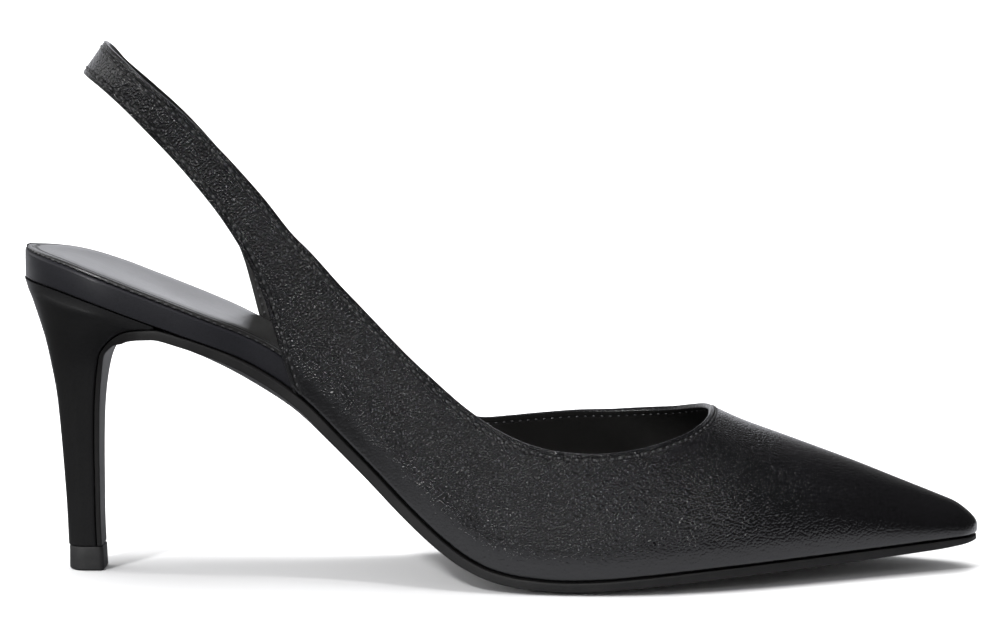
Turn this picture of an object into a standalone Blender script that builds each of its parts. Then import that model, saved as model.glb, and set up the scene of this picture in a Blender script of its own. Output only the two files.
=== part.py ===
# Slingback pump: a right shoe with a pointed toe and a slim covered heel.
# Metres, +X to the toe, -Y to the outer side of the foot, +Z up, standing on z = 0.
import math
from bisect import bisect_right

import bmesh
import bpy
from mathutils import Vector

# Driving sizes, measured on the shoe as it stands
LENGTH = 0.2389
SOLE_WIDTH = 0.0730
SEAT_HEIGHT = 0.0742
SOLE_THICKNESS = 0.0028
BED_THICKNESS = 0.0074
SOCK_THICKNESS = 0.0010
WALL = 0.0014
GAP = 0.0003

# Radii of the round ends in plan and in side view
HEEL_ROUND = 0.0250
TOE_ROUND = 0.0052
NOSE_ROUND = 0.0066
STRAP_ROUND = 0.0265

# Height of the foremost point of the toe, lean of the crown to the inner side
NOSE_HEIGHT = 0.0110
CROWN_LEAN = 0.0026

# Insets from the sole edge, swell of a cut edge, softness of the rim of the footbed
UPPER_INSET = 0.0003
SOCK_INSET = 0.0007
SEAT_INSET = 0.0004
TOE_INSET = 0.0004
EDGE_SWELL = 0.0003
BED_SOFTNESS = 0.0005

# Share by which the strap loop is drawn in towards the middle at its highest point
STRAP_DRAW_SHARE = 0.22

# Where the sole starts to bend down to the heel, as a share of LENGTH
ARCH_SHARE = 0.184

# Share of the heel's depth that its round back takes, at the seat and down the stem
SEAT_CURVE_SHARE = 0.72
STEM_CURVE_SHARE = 0.60

# Heel tip
TIP_HEIGHT = 0.0061
TIP_BACK = 0.0101
TIP_FRONT = 0.0192
TIP_HALF_WIDTH = 0.0046
TIP_CORNER = 0.0014
TIP_BEVEL = 0.0003
TIP_CURVE_SHARE = 0.52

# Sole in plan: along is a share of LENGTH, the others are shares of SOLE_WIDTH
OUTLINE = {
    "along": (0.000, 0.063, 0.126, 0.180, 0.230, 0.293, 0.356, 0.419, 0.481, 0.544, 0.607,
              0.649, 0.691, 0.733, 0.774, 0.816, 0.858, 0.900, 0.942, 0.975, 1.000),
    "half_width": (0.342, 0.347, 0.351, 0.347, 0.329, 0.312, 0.315, 0.348, 0.403, 0.458, 0.493,
                   0.500, 0.488, 0.458, 0.414, 0.359, 0.296, 0.230, 0.164, 0.112, 0.074),
    "drift": (0.000, 0.000, -0.001, -0.007, -0.016, -0.030, -0.047, -0.058, -0.052, -0.032, -0.010,
              0.004, 0.016, 0.027, 0.034, 0.038, 0.037, 0.033, 0.026, 0.019, 0.015),
}

# Top of the sole in side view: shares of LENGTH and of SEAT_HEIGHT
FEATHER = {
    "along": (0.000, 0.043, 0.088, 0.126, 0.176, 0.218, 0.255, 0.295, 0.334, 0.365, 0.404, 0.437,
              0.464, 0.490, 0.519, 0.561, 0.603, 0.641, 0.697, 0.760, 0.848, 0.910, 0.967, 1.000),
    "rise": (1.000, 0.972, 0.926, 0.881, 0.822, 0.770, 0.709, 0.619, 0.495, 0.394, 0.265, 0.168,
             0.106, 0.069, 0.050, 0.041, 0.046, 0.056, 0.071, 0.082, 0.094, 0.102, 0.111, 0.117),
}

# Crown of the last in side view, and the bulge of its sides as a share of the half width
CROWN = {
    "along": (0.000, 0.167, 0.293, 0.377, 0.460, 0.544, 0.628, 0.678,
              0.719, 0.753, 0.792, 0.834, 0.877, 0.919, 0.963, 1.000),
    "rise": (3.100, 2.898, 2.493, 2.022, 1.456, 1.024, 0.721, 0.605,
             0.548, 0.498, 0.452, 0.403, 0.352, 0.299, 0.244, 0.196),
    "bulge": (0.200, 0.200, 0.185, 0.150, 0.110, 0.085, 0.075, 0.075,
              0.075, 0.078, 0.080, 0.085, 0.090, 0.090, 0.090, 0.090),
}

# Sole thickness at its edge and down its middle, as shares of SOLE_THICKNESS
SOLE_BODY = {
    "along": (0.075, 0.085, 0.095, 0.106, 0.125, 0.150, 0.190, 0.220,
              0.260, 0.300, 0.340, 0.420, 0.500, 0.620, 0.800, 0.950, 1.000),
    "edge": (0.44, 0.40, 0.50, 0.80, 0.84, 0.84, 0.82, 0.80,
             0.82, 0.85, 0.86, 0.86, 0.80, 0.79, 0.78, 0.66, 0.38),
    "middle": (0.46, 0.43, 0.54, 0.84, 0.90, 1.00, 1.25, 1.55,
               1.70, 1.50, 1.25, 1.15, 1.22, 1.25, 1.05, 0.80, 0.45),
}

# Section of the underside: across is a share of the half width, fall is 0 at the thickness
# of the edge and 1 at the thickness of the middle
SOLE_SECTION = {
    "across": (0.30, 0.62, 0.86, 0.985),
    "fall": (1.00, 0.85, 0.45, 0.00),
}

# Footbed: thickness, inset from the sole edge and hollow, as shares of BED_THICKNESS
FOOTBED = {
    "along": (0.00, 0.10, 0.17, 0.21, 0.24, 0.27, 0.30, 0.34, 0.40, 0.46, 0.53, 0.63, 1.00),
    "thick": (1.00, 0.94, 0.89, 0.86, 0.88, 0.92, 0.90, 0.80, 0.61, 0.44, 0.35, 0.32, 0.29),
    "inset": (0.06, 0.06, 0.06, 0.12, 0.33, 0.34, 0.34, 0.34, 0.34, 0.34, 0.34, 0.35, 0.37),
    "hollow": (0.14, 0.14, 0.13, 0.12, 0.11, 0.10, 0.09, 0.08, 0.07, 0.06, 0.06, 0.05, 0.04),
}

# Heel from its seat down to the tip: where its front and its back stand, and its half width.
# along is a share of LENGTH, rise of the height from the tip's top to the seat.
HEEL = {
    "front_along": (0.1465, 0.1306, 0.1172, 0.1021, 0.0913, 0.0829,
                    0.0787, 0.0749, 0.0733, 0.0724, 0.0724, 0.0733),
    "front_rise": (0.831, 0.829, 0.821, 0.795, 0.761, 0.720, 0.666, 0.569, 0.481, 0.318, 0.127, 0.000),
    "back_along": (0.0025, 0.0046, 0.0080, 0.0121, 0.0167, 0.0213,
                   0.0255, 0.0310, 0.0339, 0.0370, 0.0402, 0.0414),
    "back_rise": (0.980, 0.958, 0.927, 0.879, 0.823, 0.759, 0.683, 0.569, 0.466, 0.318, 0.127, 0.000),
    "half_width": (0.342, 0.332, 0.305, 0.254, 0.200, 0.152, 0.114, 0.088, 0.078, 0.070, 0.063, 0.060),
}

# Upper, one row a rib from the back of the strap to the throat, for each side of the foot.
# along is a share of LENGTH, turn is 0 at the sole and 1 on the crown of the last.
OUTER_RIBS = {
    "low_along": (0.065, 0.085, 0.114, 0.149, 0.186, 0.218, 0.241, 0.257, 0.269, 0.281, 0.290,
                  0.335, 0.387, 0.440, 0.498, 0.561, 0.624, 0.666, 0.693, 0.709, 0.716, 0.719),
    "low_turn": (0.228, 0.223, 0.211, 0.190, 0.165, 0.139, 0.113, 0.086, 0.053, 0.018, 0.000,
                 0.000, 0.000, 0.000, 0.000, 0.000, 0.000, 0.000, 0.000, 0.000, 0.000, 0.000),
    "top_along": (0.087, 0.110, 0.139, 0.177, 0.217, 0.256, 0.293, 0.327, 0.357, 0.386, 0.404,
                  0.430, 0.460, 0.492, 0.532, 0.580, 0.630, 0.668, 0.693, 0.709, 0.716, 0.719),
    "top_turn": (0.269, 0.260, 0.246, 0.229, 0.210, 0.192, 0.176, 0.178, 0.185, 0.194, 0.203,
                 0.220, 0.237, 0.252, 0.276, 0.329, 0.425, 0.542, 0.651, 0.768, 0.877, 1.000),
}
INNER_RIBS = {
    "low_along": (0.065, 0.074, 0.096, 0.134, 0.173, 0.203, 0.220, 0.229, 0.239, 0.249, 0.259,
                  0.306, 0.361, 0.416, 0.477, 0.544, 0.613, 0.661, 0.693, 0.709, 0.716, 0.719),
    "low_turn": (0.228, 0.218, 0.199, 0.174, 0.146, 0.115, 0.086, 0.058, 0.025, 0.002, 0.000,
                 0.000, 0.000, 0.000, 0.000, 0.000, 0.000, 0.000, 0.000, 0.000, 0.000, 0.000),
    "top_along": (0.087, 0.098, 0.123, 0.161, 0.203, 0.241, 0.275, 0.304, 0.329, 0.352, 0.370,
                  0.398, 0.428, 0.463, 0.509, 0.563, 0.622, 0.663, 0.693, 0.709, 0.716, 0.719),
    "top_turn": (0.269, 0.254, 0.237, 0.215, 0.186, 0.163, 0.140, 0.127, 0.126, 0.126, 0.130,
                 0.136, 0.150, 0.177, 0.238, 0.322, 0.438, 0.557, 0.675, 0.784, 0.887, 1.000),
}

# Mesh fineness
RIB_STEPS = 9
LOOP_STEPS = 5
VAMP_RIBS = 22
SOLE_STATIONS = 32
BED_STATIONS = 25
END_STATIONS = 8
CURVE_STEPS = 7
CORNER_STEPS = 4
MERGE = 1e-7
END_STEP = 0.00012

OUTER, INNER = -1, 1


def through(stations, values, at):
    # Smooth curve through the stations that never swings past them.
    if at <= stations[0]:
        return values[0]
    if at >= stations[-1]:
        return values[-1]
    last = len(stations) - 1
    i = bisect_right(stations, at) - 1

    def slope(k):
        return (values[k + 1] - values[k]) / (stations[k + 1] - stations[k])

    def lean(k):
        if k == 0:
            return slope(0)
        if k == last:
            return slope(last - 1)
        before, after = slope(k - 1), slope(k)
        if before * after <= 0.0:
            return 0.0
        return 2.0 * before * after / (before + after)

    step = stations[i + 1] - stations[i]
    t = (at - stations[i]) / step
    rise = values[i + 1] - values[i]
    a, b = lean(i) * step, lean(i + 1) * step
    return values[i] + t * (a + t * ((3.0 * rise - 2.0 * a - b) + t * (a + b - 2.0 * rise)))


def read(table, column, x):
    return through(table["along"], table[column], x / LENGTH)


def row(table, column, t):
    # Value of a column part way between two rows, t counting rows from the first.
    return through(tuple(range(len(table[column]))), table[column], t)


def round_end(distance, radius):
    # Share of the full width that is reached this far in from a round end.
    if distance >= radius:
        return 1.0
    return math.sqrt(max(0.0, 1.0 - (1.0 - distance / radius) ** 2))


def half_width(x):
    return SOLE_WIDTH * read(OUTLINE, "half_width", x) * round_end(LENGTH - x, TOE_ROUND)


def drift(x):
    return SOLE_WIDTH * read(OUTLINE, "drift", x)


def feather(x):
    return SEAT_HEIGHT * read(FEATHER, "rise", x)


def above_feather(x):
    # Height that leaves GAP over the sole, measured square to its slope.
    step = LENGTH / 500.0
    slope = (feather(x + step) - feather(x - step)) / (2.0 * step)
    return feather(x) + GAP * math.hypot(1.0, slope)


def crown(x):
    full = SEAT_HEIGHT * read(CROWN, "rise", x)
    return NOSE_HEIGHT + (full - NOSE_HEIGHT) * round_end(LENGTH - x, NOSE_ROUND)


def last_height(x, turn):
    foot = above_feather(x)
    return foot + (crown(x) - foot) * math.sin(turn * math.pi / 2.0)


LOOP_LOW_X = LENGTH * OUTER_RIBS["low_along"][0]
LOOP_TOP_X = LENGTH * OUTER_RIBS["top_along"][0]
LOOP_LOW_Z = last_height(LOOP_LOW_X, OUTER_RIBS["low_turn"][0])
LOOP_TOP_Z = last_height(LOOP_TOP_X, OUTER_RIBS["top_turn"][0])


def loop_back(z):
    # Where the rear loop of the strap crosses the middle of the shoe at this height.
    return LOOP_LOW_X + (z - LOOP_LOW_Z) * (LOOP_TOP_X - LOOP_LOW_X) / (LOOP_TOP_Z - LOOP_LOW_Z)


def last_point(side, x, turn):
    # Point on the last: side -1 or 1, turn 0 at the sole and 1 on the crown.
    angle = turn * math.pi / 2.0
    half, middle = half_width(x), drift(x)
    lean = CROWN_LEAN * half / SOLE_WIDTH * 2.0
    reach = side * (half - UPPER_INSET * round_end(LENGTH - x, TOE_ROUND)) - lean
    swell = side * half * read(CROWN, "bulge", x) * math.sin(2.0 * angle)
    z = last_height(x, turn)
    climb = min(1.0, max(0.0, (z - SEAT_HEIGHT) / (LOOP_TOP_Z - SEAT_HEIGHT)))
    drawn = 1.0 - STRAP_DRAW_SHARE * climb * climb * (3.0 - 2.0 * climb)
    away = (lean + reach * math.cos(angle) + swell) * drawn * round_end(x - loop_back(z), STRAP_ROUND)
    return Vector((x, middle + away, z))


def upper_ribs(side):
    # Foot and head of every rib in last coordinates, from the strap loop to the toe.
    table = OUTER_RIBS if side == OUTER else INNER_RIBS
    rows = len(table["low_along"])
    steps = [(k / LOOP_STEPS) ** 2 for k in range(LOOP_STEPS)]
    steps += [1.0 + 0.5 * k for k in range(2 * rows - 3)]
    ribs = []
    for t in steps:
        low = (LENGTH * row(table, "low_along", t), row(table, "low_turn", t))
        top = (LENGTH * row(table, "top_along", t), row(table, "top_turn", t))
        ribs.append((low, top))
    throat = LENGTH * table["top_along"][-1]
    end = LENGTH - END_STEP
    for k in range(1, VAMP_RIBS + 1):
        share = math.sin(k / VAMP_RIBS * math.pi / 2.0)
        x = throat + (end - throat) * share
        ribs.append(((x, 0.0), (x, 1.0)))
    return ribs, len(steps) - 1


def build_upper():
    # One hollow leather piece: outer skin, inner skin WALL further in, and closed edges.
    points = []
    columns = {}
    for side in (OUTER, INNER):
        ribs, throat = upper_ribs(side)
        columns[side] = []
        for i, (low, top) in enumerate(ribs):
            column = []
            for j in range(RIB_STEPS + 1):
                share = j / RIB_STEPS
                if side == INNER and (i == 0 or (i >= throat and j == RIB_STEPS)):
                    column.append(columns[OUTER][i][j])
                    continue
                x = low[0] + (top[0] - low[0]) * share
                turn = low[1] + (top[1] - low[1]) * share
                column.append(len(points))
                points.append(last_point(side, x, turn))
            columns[side].append(column)
    last = len(columns[OUTER]) - 1

    skin = []
    for side in (OUTER, INNER):
        for i in range(last):
            near, far = columns[side][i], columns[side][i + 1]
            for j in range(RIB_STEPS):
                face = (near[j], far[j], far[j + 1], near[j + 1])
                skin.append(face if side == OUTER else face[::-1])
    outer_nose, inner_nose = columns[OUTER][last], columns[INNER][last]
    for j in range(RIB_STEPS - 1):
        skin.append((outer_nose[j], inner_nose[j], inner_nose[j + 1], outer_nose[j + 1]))
    skin.append((outer_nose[-2], inner_nose[-2], inner_nose[-1]))

    normals = [Vector((0.0, 0.0, 0.0)) for _ in points]
    for face in skin:
        corners = [points[k] for k in face]
        across = (corners[2] - corners[0]).cross(corners[-1] - corners[1])
        for k in face:
            normals[k] += across
    for k, normal in enumerate(normals):
        normals[k] = normal.normalized()

    def border(level, reach):
        # Edge loop along the foot or the head of the ribs, out one side and back the other.
        loop = [columns[OUTER][i][level] for i in range(reach + 1)]
        back = [columns[INNER][i][level] for i in range(reach, 0, -1)]
        return loop + [k for k in back if k not in loop]

    low_loop = border(0, last)
    top_loop = border(-1, throat)
    on_sole = set()
    for side in (OUTER, INNER):
        for i, (low, _) in enumerate(upper_ribs(side)[0]):
            if low[1] == 0.0:
                on_sole.add(columns[side][i][0])

    count = len(points)
    for k in range(count):
        inward = -normals[k] * WALL
        if k in on_sole:
            inward.z = 0.0
            inward = inward.normalized() * WALL
            moved = points[k] + inward
            moved.z = above_feather(moved.x)
        else:
            moved = points[k] + inward
        points.append(moved)
    faces = list(skin)
    faces += [tuple(k + count for k in face[::-1]) for face in skin]

    for loop, outward_first in ((low_loop, True), (top_loop, False)):
        middle = []
        for n, k in enumerate(loop):
            ahead, behind = loop[(n + 1) % len(loop)], loop[n - 1]
            run = (points[ahead] - points[behind]).normalized()
            out = run.cross(normals[k]).normalized()
            if not outward_first:
                out = -out
            swell = 0.0 if k in on_sole else EDGE_SWELL
            middle.append(len(points))
            points.append((points[k] + points[k + count]) / 2.0 + out * swell)
        for n, k in enumerate(loop):
            m = (n + 1) % len(loop)
            ahead = loop[m]
            faces.append((k, ahead, middle[m], middle[n]))
            faces.append((middle[n], middle[m], ahead + count, k + count))
    return points, faces


def ring_loft(rings, bent_start=False):
    # Closed skin through rings of equal length. An end is one flat face, or strips from side
    # to side where its ring bends.
    size = len(rings[0])
    points = [point for ring in rings for point in ring]
    faces = []
    for r in range(len(rings) - 1):
        for i in range(size):
            j = (i + 1) % size
            faces.append((r * size + i, r * size + j, (r + 1) * size + j, (r + 1) * size + i))
    end = (len(rings) - 1) * size
    faces.append(tuple(range(end, end + size)))
    if bent_start:
        middle = size // 2
        faces += [(size - 1 - i, size - 2 - i, i + 1, i) for i in range(middle - 3)]
        faces.append(tuple(reversed(range(middle - 3, middle + 3))))
    else:
        faces.append(tuple(reversed(range(size))))
    return points, faces


def mirrored(profile):
    # Ring from one half: the outer side in order, then the inner side back again.
    return [(-y, h) for y, h in profile] + [(y, h) for y, h in reversed(profile)]


def heel_height(share):
    # Height on the heel: 0 where it meets the tip, 1 at the seat.
    foot = TIP_HEIGHT + GAP
    return foot + (SEAT_HEIGHT - foot) * share


def sole_path():
    # Top of the sole from the toe to the arch, then down the front of the heel.
    tip = LENGTH - TOE_INSET
    start, arch = tip - TOE_ROUND, LENGTH * ARCH_SHARE
    xs = [tip - TOE_ROUND * (k / END_STATIONS) ** 2 for k in range(END_STATIONS)]
    xs += [start + (arch - start) * k / SOLE_STATIONS for k in range(SOLE_STATIONS + 1)]
    path = [(x, feather(x), half_width(x + TOE_INSET - END_STEP)) for x in xs]
    rows = len(HEEL["front_along"])
    bend = [path[-1]]
    for t in range(rows):
        bend.append((LENGTH * HEEL["front_along"][t], heel_height(HEEL["front_rise"][t]),
                     SOLE_WIDTH * HEEL["half_width"][t]))
    stations = tuple(range(len(bend)))
    for k in range(1, 2 * rows + 1):
        path.append(tuple(through(stations, [point[c] for point in bend], k / 2.0) for c in range(3)))
    return path


def path_normals(path):
    normals = []
    for k in range(len(path)):
        ahead, behind = path[min(k + 1, len(path) - 1)], path[max(k - 1, 0)]
        run = Vector((ahead[0] - behind[0], ahead[1] - behind[1])).normalized()
        normals.append(Vector((-run.y, run.x)))
    return normals


def build_outsole():
    path = sole_path()
    rings = []
    for (x, z, half), normal in zip(path, path_normals(path)):
        edge = SOLE_THICKNESS * read(SOLE_BODY, "edge", x)
        middle = SOLE_THICKNESS * read(SOLE_BODY, "middle", x)
        profile = [(across * half, edge + fall * (middle - edge))
                   for across, fall in zip(SOLE_SECTION["across"], SOLE_SECTION["fall"])]
        profile += [(half, 0.5 * edge), (half, 0.0), (SOLE_SECTION["across"][0] * half, 0.0)]
        ring = []
        for y, depth in mirrored(profile):
            ring.append(Vector((x + normal.x * depth, drift(x) + y, max(0.0, z + normal.y * depth))))
        rings.append(ring)
    return ring_loft(rings)


def bed_stations(start, end):
    # Stations closer together inside the two round ends.
    low, high = start + HEEL_ROUND, end - TOE_ROUND
    near = [(k / END_STATIONS) ** 2 for k in range(END_STATIONS)]
    xs = [start + HEEL_ROUND * share for share in near]
    xs += [low + (high - low) * k / BED_STATIONS for k in range(BED_STATIONS + 1)]
    return xs + [end - TOE_ROUND * share for share in reversed(near)]


def bed_start():
    return BED_THICKNESS * FOOTBED["inset"][0]


def bed_end():
    return LENGTH - BED_THICKNESS * FOOTBED["inset"][-1] - 0.3 * TOE_ROUND


def bed_half_width(x):
    inset = BED_THICKNESS * read(FOOTBED, "inset", x)
    full = SOLE_WIDTH * read(OUTLINE, "half_width", x) - inset
    heel = round_end(x - bed_start(), HEEL_ROUND)
    toe = round_end(bed_end() - x, TOE_ROUND)
    return max(full * heel * toe, END_STEP)


def bed_top(x, across):
    # Top of the footbed, across 0 in its middle and 1 at its edge, flat at both its ends.
    rim = 2.0 * SOCK_INSET
    ends = round_end(x - bed_start() - rim, HEEL_ROUND) * round_end(bed_end() - rim - x, TOE_ROUND)
    hollow = BED_THICKNESS * read(FOOTBED, "hollow", x) * ends
    thick = BED_THICKNESS * read(FOOTBED, "thick", x)
    return above_feather(x) + thick - hollow * (1.0 - across * across)


def build_footbed():
    rings = []
    for x in bed_stations(bed_start() + END_STEP, bed_end() - END_STEP):
        half = bed_half_width(x)
        soft = min(BED_SOFTNESS, 0.2 * half)
        base, rim = above_feather(x), bed_top(x, 1.0)
        profile = [(0.35 * half, base), (half - soft, base), (half - 0.3 * soft, base + soft),
                   (half, base + 0.5 * (rim - base)), (half - 0.3 * soft, rim - soft), (half - soft, rim),
                   (0.78 * half, bed_top(x, 0.78)), (0.40 * half, bed_top(x, 0.40))]
        rings.append([Vector((x, drift(x) + y, z)) for y, z in mirrored(profile)])
    return ring_loft(rings)


def build_sock():
    rings = []
    start, end = bed_start() + SOCK_INSET, bed_end() - SOCK_INSET
    for x in bed_stations(start + END_STEP, end - END_STEP):
        bed = bed_half_width(x)
        full = SOLE_WIDTH * read(OUTLINE, "half_width", x) - BED_THICKNESS * read(FOOTBED, "inset", x)
        ends = round_end(x - start, HEEL_ROUND) * round_end(end - x, TOE_ROUND)
        half = max((full - SOCK_INSET) * ends, END_STEP)
        lift = above_feather(x) - feather(x)

        def at(share, up):
            return (share * half, bed_top(x, share * half / bed) + lift + up * SOCK_THICKNESS)

        profile = [at(0.40, 0.0), at(0.78, 0.0), at(0.985, 0.0), at(1.0, 0.45), at(0.985, 0.80),
                   at(0.95, 0.97), at(0.78, 1.0), at(0.40, 1.0)]
        rings.append([Vector((x, drift(x) + y, z)) for y, z in mirrored(profile)])
    return ring_loft(rings)


def heel_ring(front, back, half, straight, height=None):
    # Ring from a round back to a flat front; straight is where its sides stop curving.
    profile = []
    for k in range(CURVE_STEPS + 1):
        angle = math.pi / 2.0 * k / CURVE_STEPS
        profile.append((straight * (1.0 - math.cos(angle)), half * math.sin(angle)))
    profile += [(straight + (1.0 - straight) * k / 3.0, half) for k in (1, 2, 3)]
    profile.append((1.0, half / 3.0))
    ring = []
    for side, order in ((OUTER, profile), (INNER, profile[::-1])):
        for share, y in order:
            x = back[0] + (front[0] - back[0]) * share
            z = back[1] + (front[1] - back[1]) * share if height is None else height(x)
            ring.append(Vector((x, side * y, z)))
    return ring


def build_heel():
    path = sole_path()
    rows = len(HEEL["front_along"])
    fronts = path[-(2 * rows - 1):]
    normals = path_normals(path)[-(2 * rows - 1):]
    inset = SEAT_INSET
    seat_front = (fronts[0][0] - GAP, 0.0)

    def seat(x):
        return 2.0 * feather(x) - above_feather(x)

    rings = [heel_ring(seat_front, (inset, 0.0), fronts[0][2] - inset, SEAT_CURVE_SHARE, seat)]
    for k, ((x, z, half), normal) in enumerate(zip(fronts, normals)):
        t = k / 2.0
        front = (x - normal.x * GAP, z - normal.y * GAP)
        back = (LENGTH * row(HEEL, "back_along", t), heel_height(row(HEEL, "back_rise", t)))
        down = min(1.0, 2.0 * t / rows)
        straight = SEAT_CURVE_SHARE + (STEM_CURVE_SHARE - SEAT_CURVE_SHARE) * down
        rings.append(heel_ring(front, back, half - inset * (1.0 - down), straight))
    return ring_loft(rings, bent_start=True)


def build_tip():
    # Rubber block under the stem: round at the back, small corners at the front.
    curve = TIP_CURVE_SHARE * (TIP_FRONT - TIP_BACK)

    def tip_ring(z, inset, lean):
        half, back, front = TIP_HALF_WIDTH - inset, TIP_BACK + inset, TIP_FRONT - inset - lean
        profile = []
        for k in range(CURVE_STEPS + 1):
            angle = math.pi / 2.0 * k / CURVE_STEPS
            profile.append((back + curve * (1.0 - math.cos(angle)), half * math.sin(angle)))
        for k in range(CORNER_STEPS + 1):
            angle = math.pi / 2.0 * k / CORNER_STEPS
            profile.append((front - TIP_CORNER * (1.0 - math.sin(angle)),
                            half - TIP_CORNER * (1.0 - math.cos(angle))))
        ring = [Vector((x, -y, z)) for x, y in profile]
        return ring + [Vector((x, y, z)) for x, y in reversed(profile)]

    rings = [tip_ring(0.0, TIP_BEVEL, 0.0), tip_ring(TIP_BEVEL, 0.0, 0.0),
             tip_ring(TIP_HEIGHT - TIP_BEVEL, 0.0, TIP_BEVEL / 2.0), tip_ring(TIP_HEIGHT, TIP_BEVEL, TIP_BEVEL)]
    return ring_loft(rings)


def add_part(name, shape, colour, roughness):
    points, faces = shape
    work = bmesh.new()
    corners = [work.verts.new(point) for point in points]
    for face in faces:
        work.faces.new([corners[k] for k in face])
    bmesh.ops.remove_doubles(work, verts=work.verts, dist=MERGE)
    bmesh.ops.recalc_face_normals(work, faces=work.faces)
    mesh = bpy.data.meshes.new(name)
    work.to_mesh(mesh)
    work.free()
    mesh.shade_smooth()
    mesh.set_sharp_from_angle(angle=math.radians(42.0))
    material = bpy.data.materials.new(name)
    material.use_nodes = True
    shader = material.node_tree.nodes["Principled BSDF"]
    shader.inputs["Base Color"].default_value = (*colour, 1.0)
    shader.inputs["Roughness"].default_value = roughness
    mesh.materials.append(material)
    thing = bpy.data.objects.new(name, mesh)
    bpy.context.scene.collection.objects.link(thing)
    return thing


for old in list(bpy.data.objects):
    bpy.data.objects.remove(old, do_unlink=True)

parts = [
    add_part("upper", build_upper(), (0.012, 0.012, 0.013), 0.42),
    add_part("outsole", build_outsole(), (0.020, 0.019, 0.019), 0.50),
    add_part("footbed", build_footbed(), (0.016, 0.016, 0.018), 0.34),
    add_part("insole_sock", build_sock(), (0.014, 0.014, 0.015), 0.36),
    add_part("heel", build_heel(), (0.012, 0.012, 0.013), 0.36),
    add_part("heel_tip", build_tip(), (0.030, 0.030, 0.031), 0.62),
]

# Put the middle of the bounds on the origin, with the sole and the heel tip on z = 0
corners = [vertex.co for part in parts for vertex in part.data.vertices]
centre_x = (min(c.x for c in corners) + max(c.x for c in corners)) / 2.0
centre_y = (min(c.y for c in corners) + max(c.y for c in corners)) / 2.0
for part in parts:
    for vertex in part.data.vertices:
        vertex.co.x -= centre_x
        vertex.co.y -= centre_y
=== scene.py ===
import math
from bisect import bisect_right

import bmesh
import bpy
import numpy as np
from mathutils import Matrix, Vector
from mathutils.bvhtree import BVHTree
from mathutils.kdtree import KDTree


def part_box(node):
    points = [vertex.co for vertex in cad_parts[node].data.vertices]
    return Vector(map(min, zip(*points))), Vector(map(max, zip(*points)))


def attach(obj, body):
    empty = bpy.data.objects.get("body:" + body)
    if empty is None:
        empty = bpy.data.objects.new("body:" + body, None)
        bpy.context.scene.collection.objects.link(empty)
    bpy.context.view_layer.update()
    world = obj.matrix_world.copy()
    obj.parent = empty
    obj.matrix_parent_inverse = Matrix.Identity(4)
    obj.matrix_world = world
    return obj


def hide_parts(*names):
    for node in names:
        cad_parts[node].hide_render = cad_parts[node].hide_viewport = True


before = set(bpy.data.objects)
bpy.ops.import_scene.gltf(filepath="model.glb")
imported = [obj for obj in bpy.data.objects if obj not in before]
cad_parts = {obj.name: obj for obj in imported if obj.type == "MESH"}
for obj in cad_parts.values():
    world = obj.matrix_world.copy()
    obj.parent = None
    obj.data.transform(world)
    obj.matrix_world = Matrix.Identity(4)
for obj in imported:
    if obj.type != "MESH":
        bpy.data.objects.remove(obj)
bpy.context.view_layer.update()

# Slingback pump. Metres, +X to the toe, -Y to the outer side of the foot, +Z up.
# Sections are worked out in last coordinates, where x is 0 at the back of the seat.
outer, inner = -1, 1

shoe = {
    "length": 0.2389,
    "soleWidth": 0.0730,
    "seatHeight": 0.0742,
    "gap": 0.0003,
    "heelRound": 0.0250,
    "toeRound": 0.0052,
    "noseRound": 0.0066,
    "noseHeight": 0.0110,
    "toeInset": 0.0004,
    "endStep": 0.00012,
}

# shares of the length, then of the sole's width
outline = {
    "along": (0.000, 0.063, 0.126, 0.180, 0.230, 0.293, 0.356, 0.419, 0.481, 0.544, 0.607,
              0.649, 0.691, 0.733, 0.774, 0.816, 0.858, 0.900, 0.942, 0.975, 1.000),
    "halfWidth": (0.342, 0.347, 0.351, 0.347, 0.329, 0.312, 0.315, 0.348, 0.403, 0.458, 0.493,
                  0.500, 0.488, 0.458, 0.414, 0.359, 0.296, 0.230, 0.164, 0.112, 0.074),
    "drift": (0.000, 0.000, -0.001, -0.007, -0.016, -0.030, -0.047, -0.058, -0.052, -0.032, -0.010,
              0.004, 0.016, 0.027, 0.034, 0.038, 0.037, 0.033, 0.026, 0.019, 0.015),
}

# shares of the length, then of the seat's height
featherLine = {
    "along": (0.000, 0.043, 0.088, 0.126, 0.176, 0.218, 0.255, 0.295, 0.334, 0.365, 0.404, 0.437,
              0.464, 0.490, 0.519, 0.561, 0.603, 0.641, 0.697, 0.760, 0.848, 0.910, 0.967, 1.000),
    "rise": (1.000, 0.972, 0.926, 0.881, 0.822, 0.770, 0.709, 0.619, 0.495, 0.394, 0.265, 0.168,
             0.106, 0.069, 0.050, 0.041, 0.046, 0.056, 0.071, 0.082, 0.094, 0.102, 0.111, 0.117),
}

crownLine = {
    "along": (0.000, 0.167, 0.293, 0.377, 0.460, 0.544, 0.628, 0.678,
              0.719, 0.753, 0.792, 0.834, 0.877, 0.919, 0.963, 1.000),
    "rise": (3.100, 2.898, 2.493, 2.022, 1.456, 1.024, 0.721, 0.605,
             0.548, 0.498, 0.452, 0.403, 0.352, 0.299, 0.244, 0.196),
    "bulge": (0.200, 0.200, 0.185, 0.150, 0.110, 0.085, 0.075, 0.075,
              0.075, 0.078, 0.080, 0.085, 0.090, 0.090, 0.090, 0.090),
}


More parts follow.
